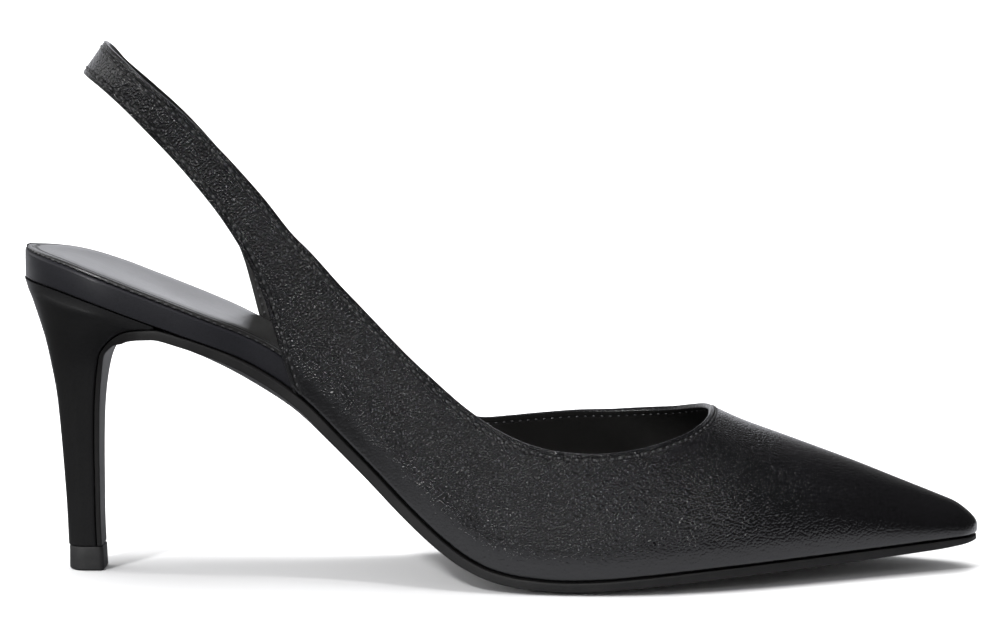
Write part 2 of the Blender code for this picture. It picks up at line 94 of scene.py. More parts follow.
def through(stations, values, at):
    # smooth curve through the stations that never swings past them
    if at <= stations[0]:
        return values[0]
    if at >= stations[-1]:
        return values[-1]
    last = len(stations) - 1
    i = bisect_right(stations, at) - 1

    def slope(k):
        return (values[k + 1] - values[k]) / (stations[k + 1] - stations[k])

    def lean(k):
        if k == 0:
            return slope(0)
        if k == last:
            return slope(last - 1)
        before, after = slope(k - 1), slope(k)
        if before * after <= 0.0:
            return 0.0
        return 2.0 * before * after / (before + after)

    step = stations[i + 1] - stations[i]
    t = (at - stations[i]) / step
    rise = values[i + 1] - values[i]
    a, b = lean(i) * step, lean(i + 1) * step
    return values[i] + t * (a + t * ((3.0 * rise - 2.0 * a - b) + t * (a + b - 2.0 * rise)))


def read(table, column, x):
    return through(table["along"], table[column], x / shoe["length"])


def rowAt(table, column, t):
    return through(tuple(range(len(table[column]))), table[column], t)


def roundEnd(distance, radius):
    if distance >= radius:
        return 1.0
    return math.sqrt(max(0.0, 1.0 - (1.0 - distance / radius) ** 2))


def ease(share):
    # 0 to 1 with soft ends
    share = min(1.0, max(0.0, share))
    return share * share * (3.0 - 2.0 * share)


def halfWidth(x):
    return shoe["soleWidth"] * read(outline, "halfWidth", x) * roundEnd(shoe["length"] - x, shoe["toeRound"])


def drift(x):
    return shoe["soleWidth"] * read(outline, "drift", x)


def feather(x):
    return shoe["seatHeight"] * read(featherLine, "rise", x)


def slant(x):
    # how much longer the feather line is than its run along the shoe
    step = shoe["length"] / 500.0
    return math.hypot(1.0, (feather(x + step) - feather(x - step)) / (2.0 * step))


def aboveFeather(x, lift=shoe["gap"]):
    return feather(x) + lift * slant(x)


def mix(low, high, share):
    return tuple(a + (b - a) * share for a, b in zip(low, high))


def runningLengths(points):
    lengths = [0.0]
    for a, b in zip(points, points[1:]):
        lengths.append(lengths[-1] + (b - a).length)
    return lengths


def locate(lengths, distance):
    # the stretch that a distance falls in, and the share of it
    i = min(max(bisect_right(lengths, distance) - 1, 0), len(lengths) - 2)
    share = (distance - lengths[i]) / max(lengths[i + 1] - lengths[i], 1e-12)
    return i, min(1.0, max(0.0, share))


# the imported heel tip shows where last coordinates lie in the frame
tipLow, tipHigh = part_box("heel_tip")
heelTip = {
    "height": 0.0061,
    "back": 0.0101,
    "front": 0.0192,
    "halfWidth": 0.0046,
    "corner": 0.0014,
    "curve": 0.52,
    "footSoft": 0.0006,
    "headSoft": 0.0003,
    "lean": 0.0002,
}
origin = Vector((tipLow.x - heelTip["back"], (tipLow.y + tipHigh.y) / 2.0, 0.0))


# mesh helpers
def newPiece(name, points, faces, material, slot, replaced=(), sharp=None):
    mesh = bpy.data.meshes.new(name)
    mesh.from_pydata([tuple(Vector(p) + origin) for p in points], [], faces)
    mesh.validate()
    work = bmesh.new()
    work.from_mesh(mesh)
    bmesh.ops.remove_doubles(work, verts=work.verts, dist=1e-7)
    bmesh.ops.recalc_face_normals(work, faces=work.faces)
    work.to_mesh(mesh)
    work.free()
    mesh.shade_smooth()
    if sharp:
        mesh.set_sharp_from_angle(angle=math.radians(sharp))
    mesh.materials.append(material)
    piece = bpy.data.objects.new(name, mesh)
    bpy.context.scene.collection.objects.link(piece)
    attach(piece, "root")
    if replaced:
        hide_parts(*replaced)
    return piece


def loftRings(rings, capStart=True, capEnd=True):
    size = len(rings[0])
    points = [point for ring in rings for point in ring]
    faces = []
    for r in range(len(rings) - 1):
        for i in range(size):
            j = (i + 1) % size
            faces.append((r * size + i, r * size + j, (r + 1) * size + j, (r + 1) * size + i))
    end = (len(rings) - 1) * size
    if capEnd:
        faces.append(tuple(range(end, end + size)))
    if capStart:
        faces.append(tuple(reversed(range(size))))
    return points, faces


def mirrored(profile):
    return [(-y, h) for y, h in profile] + [(y, h) for y, h in reversed(profile)]


def arc(centre, radius, start, stop, steps):
    # points on an arc in the section plane, angles in degrees from +y towards +z
    found = []
    for k in range(steps + 1):
        angle = math.radians(start + (stop - start) * k / steps)
        found.append((centre[0] + radius * math.cos(angle), centre[1] + radius * math.sin(angle)))
    return found


# materials
def plug(socket, value):
    # a socket is wired up, a colour gets its alpha, and anything else is set as it is
    if isinstance(value, bpy.types.NodeSocket):
        socket.id_data.links.new(value, socket)
    else:
        socket.default_value = (*value, 1.0) if socket.type == "RGBA" else value


def addNode(tree, kind, inputs=None, **settings):
    node = tree.nodes.new(kind)
    for key, value in settings.items():
        setattr(node, key, value)
    for key, value in (inputs or {}).items():
        plug(node.inputs[key], value)
    return node


def mathNode(tree, operation, *values, clamp=False):
    inputs = dict(enumerate(values))
    return addNode(tree, "ShaderNodeMath", inputs, operation=operation, use_clamp=clamp).outputs[0]


def vectorNode(tree, operation, inputs):
    return addNode(tree, "ShaderNodeVectorMath", inputs, operation=operation).outputs[0]


def blend(tree, factor, first, second):
    inputs = {"Factor": factor, "A": first, "B": second}
    return addNode(tree, "ShaderNodeMix", inputs, data_type="RGBA").outputs["Result"]


def between(tree, share, low, high):
    return mathNode(tree, "MULTIPLY_ADD", share, high - low, low)


def fade(tree, value, low, high):
    # 0 at low, 1 at high, with soft ends
    inputs = {"Value": value, "From Min": low, "From Max": high}
    return addNode(tree, "ShaderNodeMapRange", inputs, interpolation_type="SMOOTHSTEP").outputs["Result"]


def objectPlace(tree):
    return addNode(tree, "ShaderNodeTexCoord").outputs["Object"]


def newGroup(name, inputs, outputs):
    group = bpy.data.node_groups.new(name, "ShaderNodeTree")
    for label, value in inputs.items():
        socket = group.interface.new_socket(name=label, in_out="INPUT", socket_type="NodeSocketFloat")
        socket.default_value = value
    for label in outputs:
        group.interface.new_socket(name=label, in_out="OUTPUT", socket_type="NodeSocketFloat")
    return group, group.nodes.new("NodeGroupInput").outputs, group.nodes.new("NodeGroupOutput").inputs


# bendScale and hideScale are waves a metre, the other sizes are for a cell of size one
grainShape = {
    "bendScale": 900.0,
    "poreCells": 2.3,
    "swellCells": 0.42,
    "swell": 0.12,
    "highlightCells": (0.52, 0.90),
    "highlightTop": (0.52, 0.18),
    "hideScale": 45.0,
}


def grainGroup():
    # pebbled leather: rounded cells, fine pores, slow hide variation, a mask for the painted shade in the cell
    # valleys, and the cell tops that catch the light, where a painted highlight goes
    group, given, result = newGroup("leatherGrain", {"Cell size": 0.0006, "Stretch": 0.3, "Pores": 0.4},
                                    ("Height", "Valley shade", "Hide", "Painted highlight"))
    place = objectPlace(group)
    scale = mathNode(group, "DIVIDE", 1.0, given["Cell size"])
    bend = addNode(group, "ShaderNodeTexNoise",
                   {"Vector": place, "Scale": grainShape["bendScale"], "Detail": 2.0, "Roughness": 0.5})
    pull = vectorNode(group, "SUBTRACT", {0: bend.outputs["Color"], 1: (0.5, 0.5, 0.5)})
    reach = mathNode(group, "MULTIPLY", given["Cell size"], given["Stretch"])
    pull = vectorNode(group, "SCALE", {0: pull, "Scale": mathNode(group, "MULTIPLY", reach, 2.0)})
    moved = vectorNode(group, "ADD", {0: place, 1: pull})

    cells = addNode(group, "ShaderNodeTexVoronoi", {"Vector": moved, "Scale": scale}, feature="F1")
    dome = mathNode(group, "SUBTRACT", 1.0, mathNode(group, "POWER", cells.outputs["Distance"], 2.0))
    fineScale = mathNode(group, "MULTIPLY", scale, grainShape["poreCells"])
    fine = addNode(group, "ShaderNodeTexVoronoi", {"Vector": moved, "Scale": fineScale}, feature="F1")
    pores = mathNode(group, "MULTIPLY", fine.outputs["Distance"], given["Pores"])
    wideScale = mathNode(group, "MULTIPLY", scale, grainShape["swellCells"])
    wide = addNode(group, "ShaderNodeTexNoise",
                   {"Vector": place, "Scale": wideScale, "Detail": 3.0, "Roughness": 0.6})
    height = mathNode(group, "MULTIPLY_ADD", wide.outputs["Fac"], grainShape["swell"],
                      mathNode(group, "SUBTRACT", dome, pores))

    # a share of the cells get a lighter top: a painted highlight standing in for the key light glinting on the
    # pebbles
    chance = addNode(group, "ShaderNodeSeparateColor", {0: cells.outputs["Color"]})
    highlightPick = fade(group, chance.outputs[0], *grainShape["highlightCells"])
    tops = fade(group, cells.outputs["Distance"], *grainShape["highlightTop"])
    hide = addNode(group, "ShaderNodeTexNoise",
                   {"Vector": place, "Scale": grainShape["hideScale"], "Detail": 4.0, "Roughness": 0.55})
    plug(result["Height"], height)
    # how deep a point lies in a valley, for the painted shade there
    plug(result["Valley shade"], mathNode(group, "SUBTRACT", 1.0, dome, clamp=True))
    plug(result["Hide"], hide.outputs["Fac"])
    plug(result["Painted highlight"], mathNode(group, "MULTIPLY", highlightPick, tops))
    return group


seamShape = {"holeDepth": 0.35, "lineDepth": 0.65, "edgeWidth": 0.0007}


def seamGroup():
    # pull of a stitched row on the leather: UV x runs along the row, UV y is the distance from the edge
    group, given, result = newGroup("seamPull", {"Inset": 0.0014, "Pitch": 0.00217, "Width": 0.0005},
                                    ("Height", "Line", "Edge"))
    layer = addNode(group, "ShaderNodeUVMap", uv_map="seam")
    split = addNode(group, "ShaderNodeSeparateXYZ", {0: layer.outputs["UV"]}).outputs
    away = mathNode(group, "ABSOLUTE", mathNode(group, "SUBTRACT", split["Y"], given["Inset"]))
    near = mathNode(group, "DIVIDE", away, given["Width"])
    line = mathNode(group, "SUBTRACT", 1.0, mathNode(group, "MULTIPLY", near, near), clamp=True)
    phase = mathNode(group, "DIVIDE", split["X"], given["Pitch"])
    wave = mathNode(group, "COSINE", mathNode(group, "MULTIPLY", phase, 2.0 * math.pi))
    depth = mathNode(group, "MULTIPLY_ADD", wave, -seamShape["holeDepth"], seamShape["lineDepth"])
    holes = mathNode(group, "MULTIPLY", line, depth)
    fromEdge = mathNode(group, "DIVIDE", split["Y"], seamShape["edgeWidth"])
    plug(result["Height"], mathNode(group, "MULTIPLY", holes, -1.0))
    plug(result["Line"], line)
    plug(result["Edge"], mathNode(group, "SUBTRACT", 1.0, fromEdge, clamp=True))
    return group


def wearGroup():
    # dust and rubbed polish, in the upper part of a cloud noise
    group, given, result = newGroup("handlingWear", {"Scale": 60.0, "Amount": 0.5}, ("Mask",))
    cloud = addNode(group, "ShaderNodeTexNoise",
                    {"Vector": objectPlace(group), "Scale": given["Scale"], "Detail": 6.0, "Roughness": 0.65})
    rubbed = mathNode(group, "SUBTRACT", cloud.outputs["Fac"], 0.4, clamp=True)
    plug(result["Mask"], mathNode(group, "MULTIPLY", rubbed, given["Amount"]))
    return group


grainNodes, seamNodes, wearNodes = grainGroup(), seamGroup(), wearGroup()
print("node groups made")


def placeGroup(tree, group, inputs):
    return addNode(tree, "ShaderNodeGroup", inputs, node_tree=group).outputs


def newMaterial(name):
    material = bpy.data.materials.new(name)
    material.use_nodes = True
    return material, material.node_tree, material.node_tree.nodes["Principled BSDF"].inputs


# looks give their relief in metres; wear adds to the roughness, and a cut edge shows less of the grain
bumpDistance, wearDull, edgeCalm = 0.0001, 0.25, 0.8


def leatherMaterial(name, look):
    # every leather of the shoe: base colour, grain, polish, and a sewn row where the look has one
    material, tree, shader = newMaterial(name)
    grain = placeGroup(tree, grainNodes, {"Cell size": look["cell"], "Stretch": look["stretch"],
                                          "Pores": look["pores"]})
    wear = placeGroup(tree, wearNodes, {"Scale": look["wearScale"], "Amount": look["wear"]})["Mask"]
    # grain valleys painted darker: painted shade between the pebbles
    tone = blend(tree, grain["Valley shade"], look["colour"], look["valleyShadeColour"])
    tone = blend(tree, wear, tone, look["dustColour"])
    smoothest = look["roughness"] - 0.5 * look["hideShift"]
    rough = mathNode(tree, "MULTIPLY_ADD", grain["Hide"], look["hideShift"], smoothest)
    rough = mathNode(tree, "MULTIPLY_ADD", wear, wearDull, rough)
    height = mathNode(tree, "MULTIPLY", grain["Height"], look["relief"] / bumpDistance)
    # cell tops painted lighter: a painted highlight
    highlightMask = mathNode(tree, "MULTIPLY", grain["Painted highlight"], look["paintedHighlight"])
    coat = look["coat"]
    if "lasted" in look:
        # leather pulled tight over the edge of the last is smoother there, and the painted highlight on the cell tops
        # fades out there
        level = addNode(tree, "ShaderNodeAttribute", attribute_name="aboveSole")
        loose = fade(tree, level.outputs["Fac"], *look["lasted"])
        height = mathNode(tree, "MULTIPLY", height, between(tree, loose, look["lastedGrain"], 1.0))
        highlightMask = mathNode(tree, "MULTIPLY", highlightMask, loose)
        coat = between(tree, loose, look["lastedCoat"], look["coat"])
        rough = mathNode(tree, "ADD", rough, between(tree, loose, look["lastedRoughness"], 0.0))
    # mix the painted highlight on the cell tops into the colour
    tone = blend(tree, highlightMask, tone, look["paintedHighlightColour"])
    if "seam" in look:
        seam = placeGroup(tree, seamNodes, look["seam"])
        height = mathNode(tree, "MULTIPLY", height, between(tree, seam["Edge"], 1.0, 1.0 - edgeCalm))
        height = mathNode(tree, "MULTIPLY_ADD", seam["Height"], look["seamDepth"] / bumpDistance, height)
        rough = mathNode(tree, "MULTIPLY_ADD", seam["Edge"], look["edgeDull"], rough)
        rough = mathNode(tree, "MULTIPLY_ADD", seam["Line"], look["lineDull"], rough)
        # the sewn row painted darker: painted shade in the stitch groove
        tone = blend(tree, seam["Line"], tone, look["lineShadeColour"])
    bump = addNode(tree, "ShaderNodeBump", {"Strength": 1.0, "Distance": bumpDistance, "Height": height})
    plug(shader["Base Color"], tone)
    plug(shader["Roughness"], rough)
    plug(shader["Normal"], bump.outputs["Normal"])
    plug(shader["Coat Weight"], coat)
    plug(shader["Coat Roughness"], look["coatRoughness"])
    plug(shader["Specular IOR Level"], look["specular"])
    return material


# what most of the leathers share
# in every look the highlight amount and colour paint a highlight on the cell tops, the valley colour paints shade
# into the grain valleys, and the line colour paints shade into the sewn row
plainLook = {
    "cell": 0.00045, "stretch": 0.3, "pores": 0.4, "relief": 0.000012,
    "paintedHighlight": 0.0, "paintedHighlightColour": (0.02, 0.02, 0.02), "hideShift": 0.08, "wear": 0.12, "wearScale": 70.0,
    "coat": 0.0, "coatRoughness": 0.3, "specular": 0.4,
}
upperLook = plainLook | {
    "colour": (0.0042, 0.0041, 0.0047), "valleyShadeColour": (0.0014, 0.0014, 0.0016),
    "dustColour": (0.020, 0.020, 0.022), "cell": 0.00066, "stretch": 0.14, "pores": 0.12,
    "paintedHighlight": 0.42, "paintedHighlightColour": (0.044, 0.044, 0.050), "relief": 0.000520, "roughness": 0.10,
    "wear": 0.10, "wearScale": 60.0, "coat": 0.02, "coatRoughness": 0.24, "lastedCoat": 0.50,
    "seam": {"Inset": 0.0014, "Pitch": 0.00217, "Width": 0.0006}, "seamDepth": 0.00022, "edgeDull": 0.16,
    "lineDull": 0.35, "lineShadeColour": (0.0006, 0.0006, 0.0006),
    "lasted": (0.0035, 0.0085), "lastedGrain": 0.12, "lastedRoughness": 0.12,
}
liningLook = plainLook | {
    "colour": (0.0060, 0.0056, 0.0052), "valleyShadeColour": (0.0035, 0.0033, 0.0030),
    "dustColour": (0.030, 0.028, 0.026), "cell": 0.00040, "pores": 0.5,
    "roughness": 0.55, "hideShift": 0.10, "wear": 0.2, "wearScale": 80.0,
    "seam": {"Inset": 0.0014, "Pitch": 0.00217, "Width": 0.0005}, "seamDepth": 0.00010, "edgeDull": 0.0,
    "lineDull": 0.10, "lineShadeColour": (0.0020, 0.0020, 0.0020),
}
bandLook = plainLook | {
    "colour": (0.0130, 0.0131, 0.0160), "valleyShadeColour": (0.0100, 0.0100, 0.0120),
    "dustColour": (0.030, 0.030, 0.032), "roughness": 0.44,
    "coat": 0.14, "coatRoughness": 0.26, "specular": 0.18,
}
sockLook = plainLook | {
    "colour": (0.0100, 0.0098, 0.0098), "valleyShadeColour": (0.0065, 0.0065, 0.0066),
    "dustColour": (0.035, 0.034, 0.033), "cell": 0.00038,
    "paintedHighlight": 0.35, "paintedHighlightColour": (0.06, 0.06, 0.06), "relief": 0.000022, "roughness": 0.31,
    "hideShift": 0.16, "wear": 0.18, "wearScale": 55.0, "coat": 0.36, "coatRoughness": 0.26, "specular": 0.74,
    "seam": {"Inset": 0.0022, "Pitch": 0.00217, "Width": 0.0006}, "seamDepth": 0.00022, "edgeDull": 0.0,
    "lineDull": 0.45, "lineShadeColour": (0.0010, 0.0010, 0.0010),
}
heelLook = plainLook | {
    "colour": (0.0115, 0.0115, 0.0118), "valleyShadeColour": (0.0095, 0.0095, 0.0098),
    "dustColour": (0.028, 0.028, 0.030), "roughness": 0.40,
    "coat": 0.02, "coatRoughness": 0.24, "specular": 0.07,
}
soleLook = plainLook | {
    "colour": (0.0090, 0.0088, 0.0090), "valleyShadeColour": (0.0060, 0.0060, 0.0060),
    "dustColour": (0.060, 0.058, 0.055), "cell": 0.00030, "pores": 0.5, "relief": 0.000006,
    "roughness": 0.56, "hideShift": 0.12, "wear": 0.25, "wearScale": 110.0, "specular": 0.20,
}
tipLook = plainLook | {
    "colour": (0.0150, 0.0150, 0.0156), "valleyShadeColour": (0.0110, 0.0110, 0.0112),
    "dustColour": (0.080, 0.078, 0.075), "cell": 0.00022, "pores": 0.5, "relief": 0.000006,
    "roughness": 0.62, "hideShift": 0.10, "wear": 0.35, "wearScale": 200.0,
}

upperLeather = leatherMaterial("upperLeather", upperLook)
liningLeather = leatherMaterial("liningLeather", liningLook)
bandLeather = leatherMaterial("bandLeather", bandLook)
sockLeather = leatherMaterial("sockLeather", sockLook)
heelLeather = leatherMaterial("heelLeather", heelLook)
soleLeather = leatherMaterial("soleLeather", soleLook)
tipRubber = leatherMaterial("tipRubber", tipLook)


thread = {
    "pitch": 0.00217,
    "stitch": 0.00090,
    "radius": 0.00023,
    "lift": 0.00002,
    "plunge": 1.1,
    "taper": 0.6,
    "sides": 8,
    "rings": 6,
    "colour": (0.030, 0.030, 0.032),
    "wornColour": (0.160, 0.160, 0.168),
    "roughness": 0.36,
    "twistScale": 900.0,
    "twistDepth": 0.00004,
}


def threadMaterial():
    # waxed thread with a twist
    material, tree, shader = newMaterial("waxedThread")
    worn = placeGroup(tree, wearNodes, {"Scale": thread["twistScale"], "Amount": 0.8})["Mask"]
    twist = addNode(tree, "ShaderNodeTexWave", {"Vector": objectPlace(tree), "Scale": thread["twistScale"],
                                                "Distortion": 2.0}, bands_direction="DIAGONAL")
    bump = addNode(tree, "ShaderNodeBump",
                   {"Strength": 0.6, "Distance": thread["twistDepth"], "Height": twist.outputs["Fac"]})
    plug(shader["Base Color"], blend(tree, worn, thread["colour"], thread["wornColour"]))
    plug(shader["Normal"], bump.outputs["Normal"])
    plug(shader["Roughness"], thread["roughness"])
    return material


waxedThread = threadMaterial()
print("materials made")


def stitchRow(name, path, surface, slot, closed=False):
    # one thread bead for each stitch, laid on the surface nearest the path
    points = path + path[:1] if closed else path
    lengths = runningLengths(points)
    count = int(lengths[-1] / thread["pitch"])
    pitch = lengths[-1] / count

    def at(distance):
        i, share = locate(lengths, distance)
        return points[i].lerp(points[i + 1], share)

    verts, faces = [], []
    sides, rings = thread["sides"], thread["rings"]
    for k in range(count):
        middle = (k + 0.5) * pitch
        start, stop = at(middle - thread["stitch"] / 2.0), at(middle + thread["stitch"] / 2.0)
        centre, normal, _, _ = surface.find_nearest(start.lerp(stop, 0.5))
        across = normal.cross((stop - start).normalized()).normalized()
        run = across.cross(normal).normalized()
        base = len(verts)
        for r in range(rings + 1):
            angle = math.pi * r / rings
            along, girth = -math.cos(angle), math.sin(angle) ** thread["taper"]
            dip = thread["lift"] - thread["radius"] * thread["plunge"] * along * along
            for s in range(sides):
                turn = 2.0 * math.pi * s / sides
                verts.append(centre + run * (along * thread["stitch"] / 2.0) + normal * dip
                             + across * (thread["radius"] * girth * math.cos(turn))
                             + normal * (thread["radius"] * girth * math.sin(turn)))
        for r in range(rings):
            for s in range(sides):
                t = (s + 1) % sides
                faces.append((base + r * sides + s, base + r * sides + t,
                              base + (r + 1) * sides + t, base + (r + 1) * sides + s))
    return newPiece(name, verts, faces, waxedThread, slot)


# upper: vamp, quarters and sling strap in one
upper = {
    "wall": 0.0014,
    "inset": 0.0003,
    "crownLean": 0.0026,
    "strapRound": 0.0265,
    "strapDrawShare": 0.22,
    "seamInset": 0.0014,
    "seamDip": 0.00010,
    "dipWidth": 0.0006,
    "edgeSwell": 0.00022,
    "edgeTurns": (15.0, 35.0, 60.0, 90.0, 120.0, 145.0, 165.0),
    "tuckRound": 0.0011,
    "tuckShare": 0.75,
    "tightToe": 0.0085,
    "toeFrom": 0.60,
    "toePull": 0.0135,
    "borderSteps": (0.0, 0.0002, 0.00045, 0.00075, 0.00105, 0.0014, 0.00175, 0.0021, 0.0027),
    "borderShare": 0.40,
    "throatSteps": (0.0034, 0.0042),
    "middleSteps": 22,
    "ribSamples": 28,
    "loopRibs": 22,
    "ribsPerRow": 7,
    "vampRibs": 64,
}

# one row a rib from the back of the strap to the throat; along in lengths, turn 0 at the sole, 1 on the crown
outerRibs = {
    "lowAlong": (0.065, 0.085, 0.114, 0.149, 0.186, 0.218, 0.241, 0.257, 0.269, 0.281, 0.290,
                 0.335, 0.387, 0.440, 0.498, 0.561, 0.624, 0.666, 0.693, 0.709, 0.716, 0.719),
    "lowTurn": (0.228, 0.223, 0.211, 0.190, 0.165, 0.139, 0.113, 0.086, 0.053, 0.018) + (0.0,) * 12,
    "topAlong": (0.087, 0.110, 0.139, 0.177, 0.217, 0.256, 0.293, 0.327, 0.357, 0.386, 0.404,
                 0.430, 0.460, 0.492, 0.532, 0.580, 0.630, 0.668, 0.693, 0.709, 0.716, 0.719),
    "topTurn": (0.269, 0.260, 0.246, 0.229, 0.210, 0.192, 0.176, 0.178, 0.185, 0.194, 0.203,
                0.220, 0.237, 0.252, 0.276, 0.329, 0.425, 0.542, 0.651, 0.768, 0.877, 1.000),
}
innerRibs = {
    "lowAlong": (0.065, 0.074, 0.096, 0.134, 0.173, 0.203, 0.220, 0.229, 0.239, 0.249, 0.259,
                 0.306, 0.361, 0.416, 0.477, 0.544, 0.613, 0.661, 0.693, 0.709, 0.716, 0.719),
    "lowTurn": (0.228, 0.218, 0.199, 0.174, 0.146, 0.115, 0.086, 0.058, 0.025, 0.002) + (0.0,) * 12,
    "topAlong": (0.087, 0.098, 0.123, 0.161, 0.203, 0.241, 0.275, 0.304, 0.329, 0.352, 0.370,
                 0.398, 0.428, 0.463, 0.509, 0.563, 0.622, 0.663, 0.693, 0.709, 0.716, 0.719),
    "topTurn": (0.269, 0.254, 0.237, 0.215, 0.186, 0.163, 0.140, 0.127, 0.126, 0.126, 0.130,
                0.136, 0.150, 0.177, 0.238, 0.322, 0.438, 0.557, 0.675, 0.784, 0.887, 1.000),
}


def crown(x):
    full = shoe["seatHeight"] * read(crownLine, "rise", x)
    return shoe["noseHeight"] + (full - shoe["noseHeight"]) * roundEnd(shoe["length"] - x, shoe["noseRound"])


def lastHeight(x, turn):
    foot = aboveFeather(x)
    return foot + (crown(x) - foot) * math.sin(turn * math.pi / 2.0)


def loopEnd(edge):
    x = shoe["length"] * outerRibs[edge + "Along"][0]
    return x, lastHeight(x, outerRibs[edge + "Turn"][0])


loopLow, loopTop = loopEnd("low"), loopEnd("top")


def loopBack(z):
    # where the rear loop of the strap crosses the middle of the shoe at this height
    return loopLow[0] + (z - loopLow[1]) * (loopTop[0] - loopLow[0]) / (loopTop[1] - loopLow[1])


def lastPoint(side, x, turn):
    angle = turn * math.pi / 2.0
    half, middle = halfWidth(x), drift(x)
    lean = upper["crownLean"] * half / shoe["soleWidth"] * 2.0
    reach = side * (half - upper["inset"] * roundEnd(shoe["length"] - x, shoe["toeRound"])) - lean
    swell = side * half * read(crownLine, "bulge", x) * math.sin(2.0 * angle)
    z = lastHeight(x, turn)
    climb = ease((z - shoe["seatHeight"]) / (loopTop[1] - shoe["seatHeight"]))
    drawn = 1.0 - upper["strapDrawShare"] * climb
    away = (lean + reach * math.cos(angle) + swell) * drawn * roundEnd(x - loopBack(z), upper["strapRound"])
    return Vector((x, middle + away, z))


def upperRibs(side):
    # foot and head of every rib, closer together at the loop, at the throat and in the nose
    table = outerRibs if side == outer else innerRibs
    rows = len(table["lowAlong"])
    steps = [(k / upper["loopRibs"]) ** 2 for k in range(upper["loopRibs"])]
    steps += [1.0 + k / upper["ribsPerRow"] for k in range((rows - 2) * upper["ribsPerRow"] + 1)]
    ribs = [[(shoe["length"] * rowAt(table, edge + "Along", t), rowAt(table, edge + "Turn", t))
             for edge in ("low", "top")] for t in steps]
    throat = shoe["length"] * table["topAlong"][-1]
    xs = [throat + step for step in upper["borderSteps"][1:] + upper["throatSteps"]]
    start, end, count = xs[-1], shoe["length"] - shoe["endStep"], upper["vampRibs"]
    xs += [start + (end - start) * math.sin(k / count * math.pi / 2.0) for k in range(1, count + 1)]
    return ribs + [[(x, 0.0), (x, 1.0)] for x in xs], len(steps) - 1


def ribShares(side, low, top):
    # shares up a rib: lines close together by both edges, even between them
    samples = upper["ribSamples"]
    lengths = runningLengths([lastPoint(side, *mix(low, top, k / samples)) for k in range(samples + 1)])
    total = lengths[-1]
    squeeze = min(1.0, upper["borderShare"] * total / upper["borderSteps"][-1])
    near = [step * squeeze for step in upper["borderSteps"]]
    first, final = near[-1], total - near[-1]
    count = upper["middleSteps"]
    wanted = near[:-1] + [first + (final - first) * k / count for k in range(count + 1)]
    wanted += [total - step for step in reversed(near[:-1])]
    shares = [sum(locate(lengths, distance)) / samples for distance in wanted]
    shares[0], shares[-1] = 0.0, 1.0
    return shares, wanted


def buildUpper():
    points, columns, footDistance, onSole = [], {}, [], set()
    for side in (outer, inner):
        ribs, throat = upperRibs(side)
        columns[side] = []
        for i, (low, top) in enumerate(ribs):
            shares, distances = ribShares(side, low, top)
            column = []
            for j, share in enumerate(shares):
                if side == inner and (i == 0 or (i >= throat and j == len(shares) - 1)):
                    column.append(columns[outer][i][j])
                    continue
                column.append(len(points))
                points.append(lastPoint(side, *mix(low, top, share)))
                footDistance.append(distances[j] if low[1] < 0.004 else 1.0)
            columns[side].append(column)
            if low[1] <= 0.0:
                onSole.add(column[0])
    last, levels = len(columns[outer]) - 1, len(columns[outer][0])

    skin = []
    for side in (outer, inner):
        for i in range(last):
            near, far = columns[side][i], columns[side][i + 1]
            for j in range(levels - 1):
                face = (near[j], far[j], far[j + 1], near[j + 1])
                skin.append(face if side == outer else face[::-1])
    outerNose, innerNose = columns[outer][last], columns[inner][last]
    for j in range(levels - 2):
        skin.append((outerNose[j], innerNose[j], innerNose[j + 1], outerNose[j + 1]))
    skin.append((outerNose[-2], innerNose[-2], innerNose[-1]))

    def border(level, reach):
        loop = [columns[outer][i][level] for i in range(reach + 1)]
        back = [columns[inner][i][level] for i in range(reach, 0, -1)]
        return loop + [k for k in back if k not in loop]

    return points, skin, border(-1, throat), border(0, last), onSole, footDistance


def vertexNormals(points, faces):
    place = np.array([tuple(p) for p in points])
    normals = np.zeros_like(place)
    for face in faces:
        across = np.cross(place[face[2]] - place[face[0]], place[face[-1]] - place[face[1]])
        for k in face:
            normals[k] += across
    size = np.linalg.norm(normals, axis=1)
    size[size == 0.0] = 1.0
    return [Vector(n) for n in normals / size[:, None]]


def smoothClosed(values, rounds):
    # evens out directions along a closed row
    for _ in range(rounds):
        values = [(values[k - 1] + values[k] * 2.0 + values[(k + 1) % len(values)]).normalized()
                  for k in range(len(values))]
    return values


skinPoints, skinFaces, topLoop, lowLoop, onSole, footDistance = buildUpper()
skinNormals = vertexNormals(skinPoints, skinFaces)
skinTree = BVHTree.FromPolygons(skinPoints, skinFaces)

liningPoints = []
for k, (point, normal) in enumerate(zip(skinPoints, skinNormals)):
    inward = -normal * upper["wall"]
    if k in onSole:
        inward.z = 0.0
        inward = inward.normalized() * upper["wall"]
    moved = point + inward
    if k in onSole:
        moved.z = aboveFeather(moved.x)
    liningPoints.append(moved)
liningTree = BVHTree.FromPolygons(liningPoints, [face[::-1] for face in skinFaces])


def edgeRow(loop, outwardFirst):
    # for each point of a border: the way out of the leather, square to the border
    found = []
    for n, k in enumerate(loop):
        ahead, behind = loop[(n + 1) % len(loop)], loop[n - 1]
        run = (skinPoints[ahead] - skinPoints[behind]).normalized()
        out = run.cross(skinNormals[k]).normalized()
        found.append(out if outwardFirst else -out)
    return smoothClosed(found, 2)


topOut = edgeRow(topLoop, False)
lowOut = edgeRow(lowLoop, True)


def nearestTree(points):
    tree = KDTree(len(points))
    for k, point in enumerate(points):
        tree.insert(point, k)
    tree.balance()
    return tree


def borderRow(points, closed):
    # a border as points, lengths along it and a tree to find the nearest
    row = points + points[:1] if closed else points
    return row, runningLengths(row), nearestTree(row)


